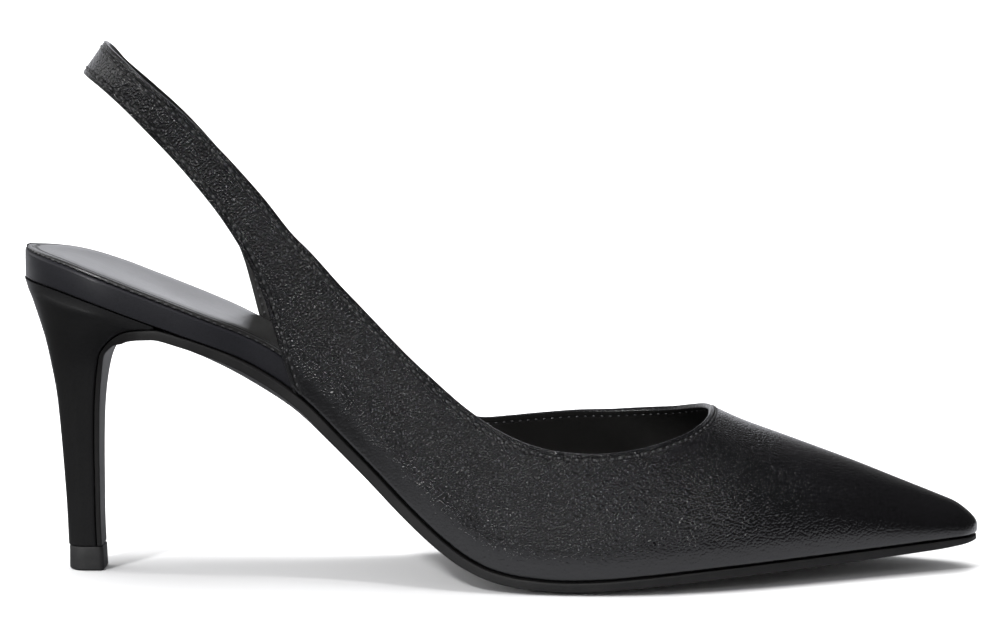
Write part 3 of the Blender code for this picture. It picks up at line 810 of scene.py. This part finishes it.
def toBorder(border, point):
    # distance to a border, and the length along it
    row, lengths, tree = border
    _, k, away = tree.find(point)
    best = (away, lengths[k])
    for a in (k - 1, k):
        if 0 <= a < len(row) - 1:
            start, stop = row[a], row[a + 1]
            span = stop - start
            share = min(1.0, max(0.0, (point - start).dot(span) / max(span.length_squared, 1e-14)))
            gap = (point - start - span * share).length
            if gap < best[0]:
                best = (gap, lengths[a] + span.length * share)
    return best


# the free part of the low border runs round the loop, from one side's sole to the other's
freeStart = next(n for n, k in enumerate(lowLoop) if k not in onSole and lowLoop[n - 1] in onSole)
freeRun = [k for k in lowLoop[freeStart:] + lowLoop[:freeStart] if k not in onSole]
topBorder = borderRow([skinPoints[k] for k in topLoop], True)
lowBorder = borderRow([skinPoints[k] for k in freeRun], False)
seamPlace = [min(toBorder(topBorder, point), toBorder(lowBorder, point)) for point in skinPoints]
print("upper worked out:", len(skinPoints), "points")


def seamLayer(piece, places):
    # UV x: length along the nearest border, UV y: distance from it
    layer = piece.data.uv_layers.new(name="seam")
    tree = nearestTree([Vector(point) + origin for point, _, _ in places])
    at = [places[tree.find(vertex.co)[1]][1:] for vertex in piece.data.vertices]
    for loop in piece.data.loops:
        layer.data[loop.index].uv = at[loop.vertex_index]


def buildLeather():
    # outer skin with a tuck at the sole and rounded cut edges down to the lining
    points, depth = [], upper["tuckRound"]
    for k, point in enumerate(skinPoints):
        moved = point.copy()
        if footDistance[k] < depth:
            inward = -skinNormals[k]
            inward.z = 0.0
            moved += inward.normalized() * depth * upper["tuckShare"] * (1.0 - roundEnd(footDistance[k], depth))
        dip = max(0.0, 1.0 - ((seamPlace[k][0] - upper["seamInset"]) / upper["dipWidth"]) ** 2)
        moved -= skinNormals[k] * upper["seamDip"] * dip
        points.append(moved)
    faces = list(skinFaces)
    places = [(point, along, away) for point, (away, along) in zip(points, seamPlace)]
    for loop, outs, first in ((topLoop, topOut, False), (lowLoop, lowOut, True)):
        rows = []
        for n, k in enumerate(loop):
            if k in onSole:
                spots = [points[k].lerp(liningPoints[k], turn / 180.0) for turn in upper["edgeTurns"]]
            else:
                middle, half = (skinPoints[k] + liningPoints[k]) / 2.0, (skinPoints[k] - liningPoints[k]) / 2.0
                spots = [middle + half * math.cos(a) + outs[n] * upper["edgeSwell"] * math.sin(a) ** 0.8
                         for a in map(math.radians, upper["edgeTurns"])]
            spots.append(liningPoints[k])
            rows.append([k, *range(len(points), len(points) + len(spots))])
            points += spots
            places += [(spot, seamPlace[k][1], 0.0) for spot in spots]
        for here, ahead in zip(rows, rows[1:] + rows[:1]):
            for a in range(len(here) - 1):
                face = (here[a], ahead[a], ahead[a + 1], here[a + 1])
                faces.append(face if first else face[::-1])
    return points, faces, places


leatherPoints, leatherFaces, leatherPlaces = buildLeather()
leatherPiece = newPiece("upperLeather", leatherPoints, leatherFaces, upperLeather, "upper_leather", ("upper",))
seamLayer(leatherPiece, leatherPlaces)
# height over the feather line, held lower towards the toe; below it the leather smooths its grain and fades the
# painted highlight on the cell tops
level = leatherPiece.data.attributes.new("aboveSole", "FLOAT", "POINT")
for vertex in leatherPiece.data.vertices:
    x = vertex.co.x - origin.x
    tight = upper["tightToe"] - upper["toePull"] * max(0.0, x / shoe["length"] - upper["toeFrom"])
    level.data[vertex.index].value = min(tight, (vertex.co.z - feather(x)) / slant(x))

liningPiece = newPiece("upperLining", liningPoints, [face[::-1] for face in skinFaces],
                       liningLeather, "upper_leather")
seamLayer(liningPiece, [(point, along, away) for point, (away, along) in zip(liningPoints, seamPlace)])
print("upper made:", len(leatherPiece.data.polygons), "faces")

# the sewn rows are set in from the borders, outside and inside
outAt = dict(zip(topLoop + lowLoop, topOut + lowOut))
for suffix, points, tree in (("", skinPoints, skinTree), ("Inside", liningPoints, liningTree)):
    for row, run in (("toplineStitches", topLoop), ("strapStitches", freeRun)):
        path = [points[k] - outAt[k] * upper["seamInset"] for k in run]
        stitchRow(row + suffix, path, tree, "upper_leather", closed=run is topLoop)
print("upper stitched")


# footbed and sock
bed = {
    "thickness": 0.0074,
    "soft": 0.0007,
    "joint": 0.00004,
    "bevel": 0.0008,
    "bevelWidth": 0.0030,
    "bevelCurve": 1.3,
    "bulge": 0.00012,
    "stations": 70,
    "endStations": 16,
    "along": (0.00, 0.10, 0.17, 0.21, 0.24, 0.27, 0.30, 0.34, 0.40, 0.46, 0.53, 0.63, 1.00),
    "thick": (1.00, 0.94, 0.89, 0.86, 0.88, 0.92, 0.90, 0.80, 0.61, 0.44, 0.35, 0.32, 0.29),
    "inset": (0.06, 0.06, 0.06, 0.12, 0.33, 0.34, 0.34, 0.34, 0.34, 0.34, 0.34, 0.35, 0.37),
    "hollow": (0.14, 0.14, 0.13, 0.12, 0.11, 0.10, 0.09, 0.08, 0.07, 0.06, 0.06, 0.05, 0.04),
}
sock = {
    "thickness": 0.0007,
    "joint": 0.00003,
    "inset": 0.0006,
    "seamInset": 0.0022,
    "seamDip": 0.00012,
    "dipWidth": 0.0007,
    "rise": 0.0003,
    "riseWidth": 0.004,
    "nearEdge": (0.00045, 0.0008, 0.0012, 0.0016, 0.0020, 0.0026, 0.0036),
    "edgeLength": 1.03,
    "seamEnd": 0.80,
    "seamSteps": 260,
}


def bedStations(start, end):
    low, high = start + shoe["heelRound"], end - shoe["toeRound"]
    near = [(k / bed["endStations"]) ** 2 for k in range(bed["endStations"])]
    xs = [start + shoe["heelRound"] * share for share in near]
    xs += [low + (high - low) * k / bed["stations"] for k in range(bed["stations"] + 1)]
    return xs + [end - shoe["toeRound"] * share for share in reversed(near)]


bedStart = bed["thickness"] * bed["inset"][0]
bedEnd = shoe["length"] - bed["thickness"] * bed["inset"][-1] - 0.3 * shoe["toeRound"]


def bedFull(x):
    return shoe["soleWidth"] * read(outline, "halfWidth", x) - bed["thickness"] * read(bed, "inset", x)


def taper(x, start, end):
    # narrows to nothing round the heel and at the toe
    return roundEnd(x - start, shoe["heelRound"]) * roundEnd(end - x, shoe["toeRound"])


def bedHalf(x):
    return max(bedFull(x) * taper(x, bedStart, bedEnd), shoe["endStep"])


def planDistance(x, y, halfAt, start, end, step=0.0007, steps=12):
    # distance from an edge in plan, close enough near the edge
    near = [min(end - 1e-5, max(start + 1e-5, x + k * step)) for k in range(-steps, steps + 1)]
    return min(1.0, *(math.hypot(at - x, halfAt(at) - abs(y)) for at in near))


def bedTop(x, across):
    rim = 2.0 * sock["inset"]
    away = planDistance(x, across * bedHalf(x), bedHalf, bedStart, bedEnd)
    fall = bed["bevel"] * max(0.0, 1.0 - away / bed["bevelWidth"]) ** bed["bevelCurve"]
    hollow = bed["thickness"] * read(bed, "hollow", x) * taper(x, bedStart + rim, bedEnd - rim)
    return aboveFeather(x) + bed["thickness"] * read(bed, "thick", x) - hollow * (1.0 - across * across) - fall


def buildBed():
    rings = []
    for x in bedStations(bedStart + shoe["endStep"], bedEnd - shoe["endStep"]):
        half = bedHalf(x)
        base, rim = aboveFeather(x, bed["joint"]), bedTop(x, 1.0)
        soft = min(bed["soft"], 0.3 * half, 0.3 * (rim - base))
        profile = [(0.35 * half, base)]
        profile += arc((half - soft * 0.6, base + soft), soft * 0.6, -90.0, 0.0, 4)
        profile += [(half + bed["bulge"] * math.sin(math.pi * k / 6.0),
                     base + soft + (rim - base - 2.0 * soft) * k / 6.0) for k in range(1, 6)]
        profile += arc((half - soft, rim - soft), soft, 0.0, 90.0, 6)
        profile += [(share * half, bedTop(x, share)) for share in (0.96, 0.92, 0.88, 0.70, 0.40)]
        rings.append([Vector((x, drift(x) + y, z)) for y, z in mirrored(profile)])
    return loftRings(rings)


newPiece("footbedBand", *buildBed(), bandLeather, "footbed_leather", ("footbed",))


sockStart, sockEnd = bedStart + sock["inset"], bedEnd - sock["inset"]


def sockHalf(x):
    return max((bedFull(x) - sock["inset"]) * taper(x, sockStart, sockEnd), shoe["endStep"])


def sockBase(x, share):
    # underside of the sock, where it lies on the footbed
    return bedTop(x, share * sockHalf(x) / bedHalf(x)) + sock["joint"]


def buildSock():
    # thin leather that rises a little inside its border seam, a pressed line
    rings, places = [], []
    for x in bedStations(sockStart + shoe["endStep"], sockEnd - shoe["endStep"]):
        half = sockHalf(x)

        def at(share, up):
            return (share * half, sockBase(x, share) + up * sock["thickness"])

        near = [min(0.9, d / half) for d in sock["nearEdge"]]
        profile = [at(0.40, 0.0), at(0.78, 0.0), at(0.985, 0.0), at(0.997, 0.2), at(1.0, 0.45)]
        profile += [at(1.0 - 0.25 * near[0], 0.75), at(1.0 - 0.6 * near[0], 0.93)]
        profile += [at(1.0 - share, 1.0) for share in near]
        inside = 1.0 - near[-1]
        profile += [at(inside * share, 1.0) for share in (0.92, 0.82, 0.68, 0.50, 0.30, 0.10)]
        ring = []
        for y, z in mirrored(profile):
            away = planDistance(x, y, sockHalf, sockStart, sockEnd)
            top = z > sockBase(x, abs(y) / half) + 0.9 * sock["thickness"]
            if top:
                dip = max(0.0, 1.0 - ((away - sock["seamInset"]) / sock["dipWidth"]) ** 2)
                z += sock["rise"] * ease((away - sock["seamInset"]) / sock["riseWidth"]) - sock["seamDip"] * dip
            ring.append(Vector((x, drift(x) + y, z)))
            places.append((ring[-1], x * sock["edgeLength"], away if top else 0.0))
        rings.append(ring)
    return loftRings(rings), places


(sockPoints, sockFaces), sockPlaces = buildSock()
sockPiece = newPiece("insoleSock", sockPoints, sockFaces, sockLeather, "sock_leather", ("insole_sock",))
seamLayer(sockPiece, sockPlaces)
sockTree = BVHTree.FromPolygons(sockPoints, sockFaces)


def sockSeamPath():
    # row set in from the sock's edge, round the heel from one side to the other
    start, stop, steps = sockStart + 1e-5, shoe["length"] * sock["seamEnd"], sock["seamSteps"]
    xs = [start + (stop - start) * (k / steps) ** 2 for k in range(steps + 1)]
    edge = [Vector((x, -sockHalf(x), 0.0)) for x in reversed(xs)] + [Vector((x, sockHalf(x), 0.0)) for x in xs[1:]]
    path = []
    for k, point in enumerate(edge):
        run = (edge[min(k + 1, len(edge) - 1)] - edge[max(k - 1, 0)]).normalized()
        spot = point + Vector((-run.y, run.x, 0.0)) * sock["seamInset"]
        height = sockBase(spot.x, 0.9) + sock["thickness"]
        path.append(Vector((spot.x, drift(spot.x) + spot.y, height)))
    return path


stitchRow("sockStitches", sockSeamPath(), sockTree, "sock_leather")
print("footbed and sock made")


# outsole
sole = {
    "thickness": 0.0028,
    "arch": 0.184,
    "stations": 110,
    "endStations": 14,
    "perRow": 6,
    "soft": 0.00035,
    "topTurns": (20.0, 45.0, 70.0, 90.0),
    "lowTurns": (0.0, 30.0, 60.0, 90.0),
    "edgeBow": 0.00004,
    "domeRange": (0.20, 0.97),
    "domeSteps": 12,
    "across": (0.30, 0.62, 0.86, 0.985),
    "fall": (1.00, 0.85, 0.45, 0.00),
    "along": (0.075, 0.085, 0.095, 0.106, 0.125, 0.150, 0.190, 0.220,
              0.260, 0.300, 0.340, 0.420, 0.500, 0.620, 0.800, 0.950, 1.000),
    "edge": (0.44, 0.40, 0.50, 0.80, 0.84, 0.84, 0.82, 0.80,
             0.82, 0.85, 0.86, 0.86, 0.80, 0.79, 0.78, 0.66, 0.38),
    "middle": (0.46, 0.43, 0.54, 0.84, 0.90, 1.00, 1.25, 1.55,
               1.70, 1.50, 1.25, 1.15, 1.22, 1.25, 1.05, 0.80, 0.45),
}
heel = {
    "seatInset": 0.0002,
    "joint": 0.00005,
    "coverJoint": 0.00012,
    "seatCurve": 0.72,
    "stemCurve": 0.60,
    "curveSteps": 20,
    "perRow": 6,
    "corner": 0.0011,
    "frontAlong": (0.1465, 0.1306, 0.1172, 0.1021, 0.0913, 0.0829,
                   0.0787, 0.0749, 0.0733, 0.0724, 0.0724, 0.0733),
    "frontRise": (0.831, 0.829, 0.821, 0.795, 0.761, 0.720, 0.666, 0.569, 0.481, 0.318, 0.127, 0.000),
    "backAlong": (0.0025, 0.0046, 0.0080, 0.0121, 0.0167, 0.0213,
                  0.0255, 0.0310, 0.0339, 0.0370, 0.0402, 0.0414),
    "backRise": (0.980, 0.958, 0.927, 0.879, 0.823, 0.759, 0.683, 0.569, 0.466, 0.318, 0.127, 0.000),
    "halfWidth": (0.342, 0.332, 0.305, 0.254, 0.200, 0.152, 0.114, 0.088, 0.078, 0.070, 0.063, 0.060),
}


def heelHeight(share):
    foot = heelTip["height"] + shoe["gap"]
    return foot + (shoe["seatHeight"] - foot) * share


def solePath():
    # top of the sole from the toe to the arch, then down the front of the heel
    tip = shoe["length"] - shoe["toeInset"]
    start, arch = tip - shoe["toeRound"], shoe["length"] * sole["arch"]
    xs = [tip - shoe["toeRound"] * (k / sole["endStations"]) ** 2 for k in range(sole["endStations"])]
    xs += [start + (arch - start) * k / sole["stations"] for k in range(sole["stations"] + 1)]
    path = [(x, feather(x), halfWidth(x + shoe["toeInset"] - shoe["endStep"])) for x in xs]
    bend = path[-1:] + [(shoe["length"] * x, heelHeight(z), shoe["soleWidth"] * half)
                        for x, z, half in zip(heel["frontAlong"], heel["frontRise"], heel["halfWidth"])]
    stations, columns = tuple(range(len(bend))), list(zip(*bend))
    for k in range(1, sole["perRow"] * (len(bend) - 1) + 1):
        path.append(tuple(through(stations, column, k / sole["perRow"]) for column in columns))
    return path


def pathNormals(path):
    normals = []
    for ahead, behind in zip(path[1:] + path[-1:], path[:1] + path[:-1]):
        run = Vector((ahead[0] - behind[0], ahead[1] - behind[1])).normalized()
        normals.append(Vector((-run.y, run.x)))
    return normals


def buildSole():
    path = solePath()
    low, high = sole["domeRange"]
    rings = []
    for (x, z, half), normal in zip(path, pathNormals(path)):
        edge = sole["thickness"] * read(sole, "edge", x)
        middle = sole["thickness"] * read(sole, "middle", x)
        soft = min(sole["soft"], 0.25 * edge, 0.2 * half)
        profile = []
        for k in range(sole["domeSteps"] + 1):
            across = low + (high - low) * k / sole["domeSteps"]
            fall = through(sole["across"], sole["fall"], across)
            profile.append((across * half, edge + fall * (middle - edge)))
        profile += [(half - soft + soft * math.sin(a), edge - soft + soft * math.cos(a))
                    for a in map(math.radians, sole["topTurns"])]
        profile += [(half - sole["edgeBow"], 0.5 * edge)]
        profile += [(half - soft + soft * math.cos(a), soft - soft * math.sin(a))
                    for a in map(math.radians, sole["lowTurns"])]
        profile += [(sole["across"][0] * half, 0.0)]
        rings.append([Vector((x + normal.x * depth, drift(x) + y, max(0.0, z + normal.y * depth)))
                      for y, depth in mirrored(profile)])
    return loftRings(rings)


newPiece("leatherOutsole", *buildSole(), soleLeather, "outsole", ("outsole",), sharp=50.0)
print("outsole made")


# heel and its tip
def quarterTurn(steps, first=0):
    return [math.pi / 2.0 * k / steps for k in range(first, steps + 1)]


def heelRing(front, back, half, straight, height=None):
    # a curved back, straight sides and a flat front with round corners
    profile = [(straight * (1.0 - math.cos(a)), half * math.sin(a)) for a in quarterTurn(heel["curveSteps"])]
    depth = max(abs(front[0] - back[0]), 1e-5)
    corner = min(heel["corner"], 0.25 * half, 0.2 * depth * (1.0 - straight) + 0.0003)
    end = 1.0 - corner / depth
    profile += [(straight + (end - straight) * k / 4.0, half) for k in (1, 2, 3, 4)]
    profile += [(end + (1.0 - end) * math.sin(a), half - corner * (1.0 - math.cos(a)))
                for a in map(math.radians, (30.0, 60.0, 90.0))]
    profile += [(1.0, half * 0.5), (1.0, half * 0.1)]
    ring = []
    for side, order in ((outer, profile), (inner, profile[::-1])):
        for share, y in order:
            x, z = mix(back, front, share)
            ring.append(Vector((x, side * y, height(x) if height else z)))
    return ring


def buildHeel():
    path = solePath()
    rows = len(heel["frontAlong"])
    count = heel["perRow"] * (rows - 1) + 1
    fronts, normals = path[-count:], pathNormals(path)[-count:]
    seatFront = (fronts[0][0] - heel["coverJoint"], 0.0)

    def seat(x):
        return 2.0 * feather(x) - aboveFeather(x, heel["joint"])

    rings = [heelRing(seatFront, (heel["seatInset"], 0.0), fronts[0][2] - heel["seatInset"], heel["seatCurve"], seat)]
    for k, ((x, z, half), normal) in enumerate(zip(fronts, normals)):
        t = k / heel["perRow"]
        front = (x - normal.x * heel["coverJoint"], z - normal.y * heel["coverJoint"])
        back = (shoe["length"] * rowAt(heel, "backAlong", t), heelHeight(rowAt(heel, "backRise", t)))
        down = min(1.0, 2.0 * t / rows)
        straight = heel["seatCurve"] + (heel["stemCurve"] - heel["seatCurve"]) * down
        rings.append(heelRing(front, back, half - heel["seatInset"] * (1.0 - down), straight))
    points, faces = loftRings(rings, capStart=False)
    size = len(rings[0])
    faces += [(size - 1 - i, size - 2 - i, i + 1, i) for i in range(size // 2 - 1)]
    return points, faces


newPiece("coveredHeel", *buildHeel(), heelLeather, "heel_cover", ("heel",), sharp=60.0)


def tipRing(z, less, lean):
    curve, corner = heelTip["curve"] * (heelTip["front"] - heelTip["back"]), heelTip["corner"]
    half, back = heelTip["halfWidth"] - less, heelTip["back"] + less
    front = heelTip["front"] - less - lean
    profile = [(back + curve * (1.0 - math.cos(a)), half * math.sin(a)) for a in quarterTurn(18)]
    profile += [(front - corner * (1.0 - math.sin(a)), half - corner * (1.0 - math.cos(a)))
                for a in quarterTurn(8, 1)]
    return [Vector((x, -y, z)) for x, y in profile] + [Vector((x, y, z)) for x, y in reversed(profile)]


def buildTip():
    # rounded a little where it meets the floor, crisp under the heel
    height, foot, head = heelTip["height"], heelTip["footSoft"], heelTip["headSoft"]
    rings = [tipRing(foot * (1.0 - math.cos(a)), foot * (1.0 - math.sin(a)), 0.0)
             for a in map(math.radians, (0.0, 25.0, 50.0, 75.0, 90.0))]
    rings.append(tipRing(height * 0.5, 0.0, 0.5 * heelTip["lean"]))
    rings += [tipRing(height - head + head * math.sin(a), head * (1.0 - math.cos(a)), heelTip["lean"])
              for a in map(math.radians, (0.0, 45.0, 90.0))]
    return loftRings(rings)


newPiece("rubberTip", *buildTip(), tipRubber, "heel_tip_rubber", ("heel_tip",), sharp=60.0)
print("heel made")


# floor, light and camera
studio = {
    "floorColour": (0.64, 0.64, 0.645),
    "reflectedNearShade": (0.37, 0.373, 0.392),
    "reflectedFarShade": (0.05, 0.05, 0.05),
    "frontFade": (-0.18, -0.07),
    "leftFade": (-0.17, -0.06),
    "behindFrom": (0.14, 0.32),
    "rightFade": (0.42, 0.24),
    "world": 0.03,
    "worldLeft": 1.1,
    "leftFrom": (-0.16, -0.44),
    "glowLow": (0.04, 0.20),
    "glowHigh": (0.80, 0.50),
    "worldFill": 0.80,
    "worldSeen": 1.2,
}
sweepShape = {"side": 1.3, "front": -1.6, "bend": 1.1, "radius": 0.5, "top": 0.8}
# size is width and depth, spread is in degrees, mirrored says whether the leather shows the light
lights = {
    "overhead": {"place": (0.0, 0.06, 1.3), "aim": (0.0, 0.06, 0.0), "size": (1.2, 0.7),
                 "watts": 1.3, "spread": 46.0, "mirrored": False},
    "backdrop": {"place": (0.0, 0.35, 1.3), "aim": (0.0, 1.3, 0.0), "size": (1.6, 0.6),
                 "watts": 34.0, "spread": 120.0, "mirrored": False},
    "key": {"place": (-0.62, -0.95, 0.95), "aim": (0.0, 0.0, 0.04), "size": (0.12, 0.12),
            "watts": 0.27, "spread": 24.0, "mirrored": True},
    "rim": {"place": (-0.10, -0.35, 1.25), "aim": (0.0, 0.0, 0.06), "size": (0.80, 0.06),
            "watts": 0.32, "spread": 40.0, "mirrored": True},
    "low": {"place": (-0.85, -1.25, 0.42), "aim": (-0.05, 0.0, 0.08), "size": (0.14, 0.14),
            "watts": 0.08, "spread": 24.0, "mirrored": True},
}


def floorMaterial():
    # pale paper to the camera; to every other ray the floor is painted darker, a painted shade that dims what the
    # shoe mirrors of it and fades it out a hand's width away
    material, tree, shader = newMaterial("paleFloor")
    split = addNode(tree, "ShaderNodeSeparateXYZ", {0: objectPlace(tree)}).outputs
    left = fade(tree, split["X"], *studio["leftFade"])
    behind = fade(tree, split["Y"], *studio["behindFrom"])
    near = mathNode(tree, "MULTIPLY", mathNode(tree, "MAXIMUM", left, behind),
                    fade(tree, split["X"], *studio["rightFade"]))
    near = mathNode(tree, "MULTIPLY", fade(tree, split["Y"], *studio["frontFade"]), near)
    # painted shade: the floor's tone for every ray but the camera's, dark away from the shoe
    mirrored = blend(tree, near, studio["reflectedFarShade"], studio["reflectedNearShade"])
    sight = addNode(tree, "ShaderNodeLightPath").outputs["Is Camera Ray"]
    plug(shader["Base Color"], blend(tree, sight, mirrored, studio["floorColour"]))
    plug(shader["Roughness"], 0.9)
    plug(shader["Specular IOR Level"], 0.1)
    return material


def sweep():
    # pale floor that curves up behind the shoe
    bend, radius = sweepShape["bend"], sweepShape["radius"]
    profile = [(sweepShape["front"], 0.0), (bend, 0.0)]
    profile += arc((bend, radius), radius, -80.0, 0.0, 8)
    profile += [(bend + radius, sweepShape["top"])]
    verts = [(x, y, z) for x in (-sweepShape["side"], sweepShape["side"]) for y, z in profile]
    count = len(profile)
    faces = [(k, k + count, k + count + 1, k + 1) for k in range(count - 1)]
    mesh = bpy.data.meshes.new("paleFloor")
    mesh.from_pydata(verts, [], faces)
    mesh.shade_smooth()
    mesh.materials.append(floorMaterial())
    floor = bpy.data.objects.new("paleFloor", mesh)
    bpy.context.scene.collection.objects.link(floor)


def aimed(thing, place, aim):
    thing.location = place
    thing.rotation_euler = (Vector(aim) - Vector(place)).to_track_quat("-Z", "Y").to_euler()
    bpy.context.scene.collection.objects.link(thing)


def softbox(name, light):
    lamp = bpy.data.lights.new(name, "AREA")
    lamp.energy = light["watts"]
    lamp.shape = "RECTANGLE"
    lamp.size, lamp.size_y = light["size"]
    lamp.spread = math.radians(light["spread"])
    box = bpy.data.objects.new(name, lamp)
    box.visible_glossy = light["mirrored"]
    aimed(box, light["place"], light["aim"])


def roomGlow():
    # the room is dim to the shoe but for a patch at the left, and pale to the eye
    world = bpy.data.worlds.new("studio")
    world.use_nodes = True
    tree = world.node_tree
    toward = addNode(tree, "ShaderNodeTexCoord").outputs["Generated"]
    toward = addNode(tree, "ShaderNodeSeparateXYZ", {0: toward}).outputs
    patch = fade(tree, toward["X"], *studio["leftFrom"])
    for band in ("glowLow", "glowHigh"):
        patch = mathNode(tree, "MULTIPLY", patch, fade(tree, toward["Z"], *studio[band]))
    glow = between(tree, patch, studio["world"], studio["worldLeft"])
    ray = addNode(tree, "ShaderNodeLightPath").outputs
    for kind, level in (("Is Camera Ray", studio["worldSeen"]), ("Is Diffuse Ray", studio["worldFill"])):
        glow = mathNode(tree, "MULTIPLY_ADD", ray[kind], level - studio["world"], glow)
    background = tree.nodes["Background"].inputs
    plug(background["Color"], (1.0, 1.0, 1.0))
    plug(background["Strength"], glow)
    return world


sweep()
for name, light in lights.items():
    softbox(name, light)
bpy.context.scene.world = roomGlow()
bpy.context.scene.view_settings.view_transform = "Standard"

view = {
    "aim": (0.1185, 0.0, 0.0628),
    "distance": 0.70386,
    "elevation": 6.0,
    "lens": 101.35,
    "sensor": 36.0,
}
camera = bpy.data.objects.new("camera", bpy.data.cameras.new("camera"))
camera.data.lens = view["lens"]
camera.data.sensor_width = view["sensor"]
lift = math.radians(view["elevation"])
aim = Vector(view["aim"]) + origin
aimed(camera, aim + Vector((0.0, -math.cos(lift), math.sin(lift))) * view["distance"], aim)
bpy.context.scene.camera = camera
print("studio made")
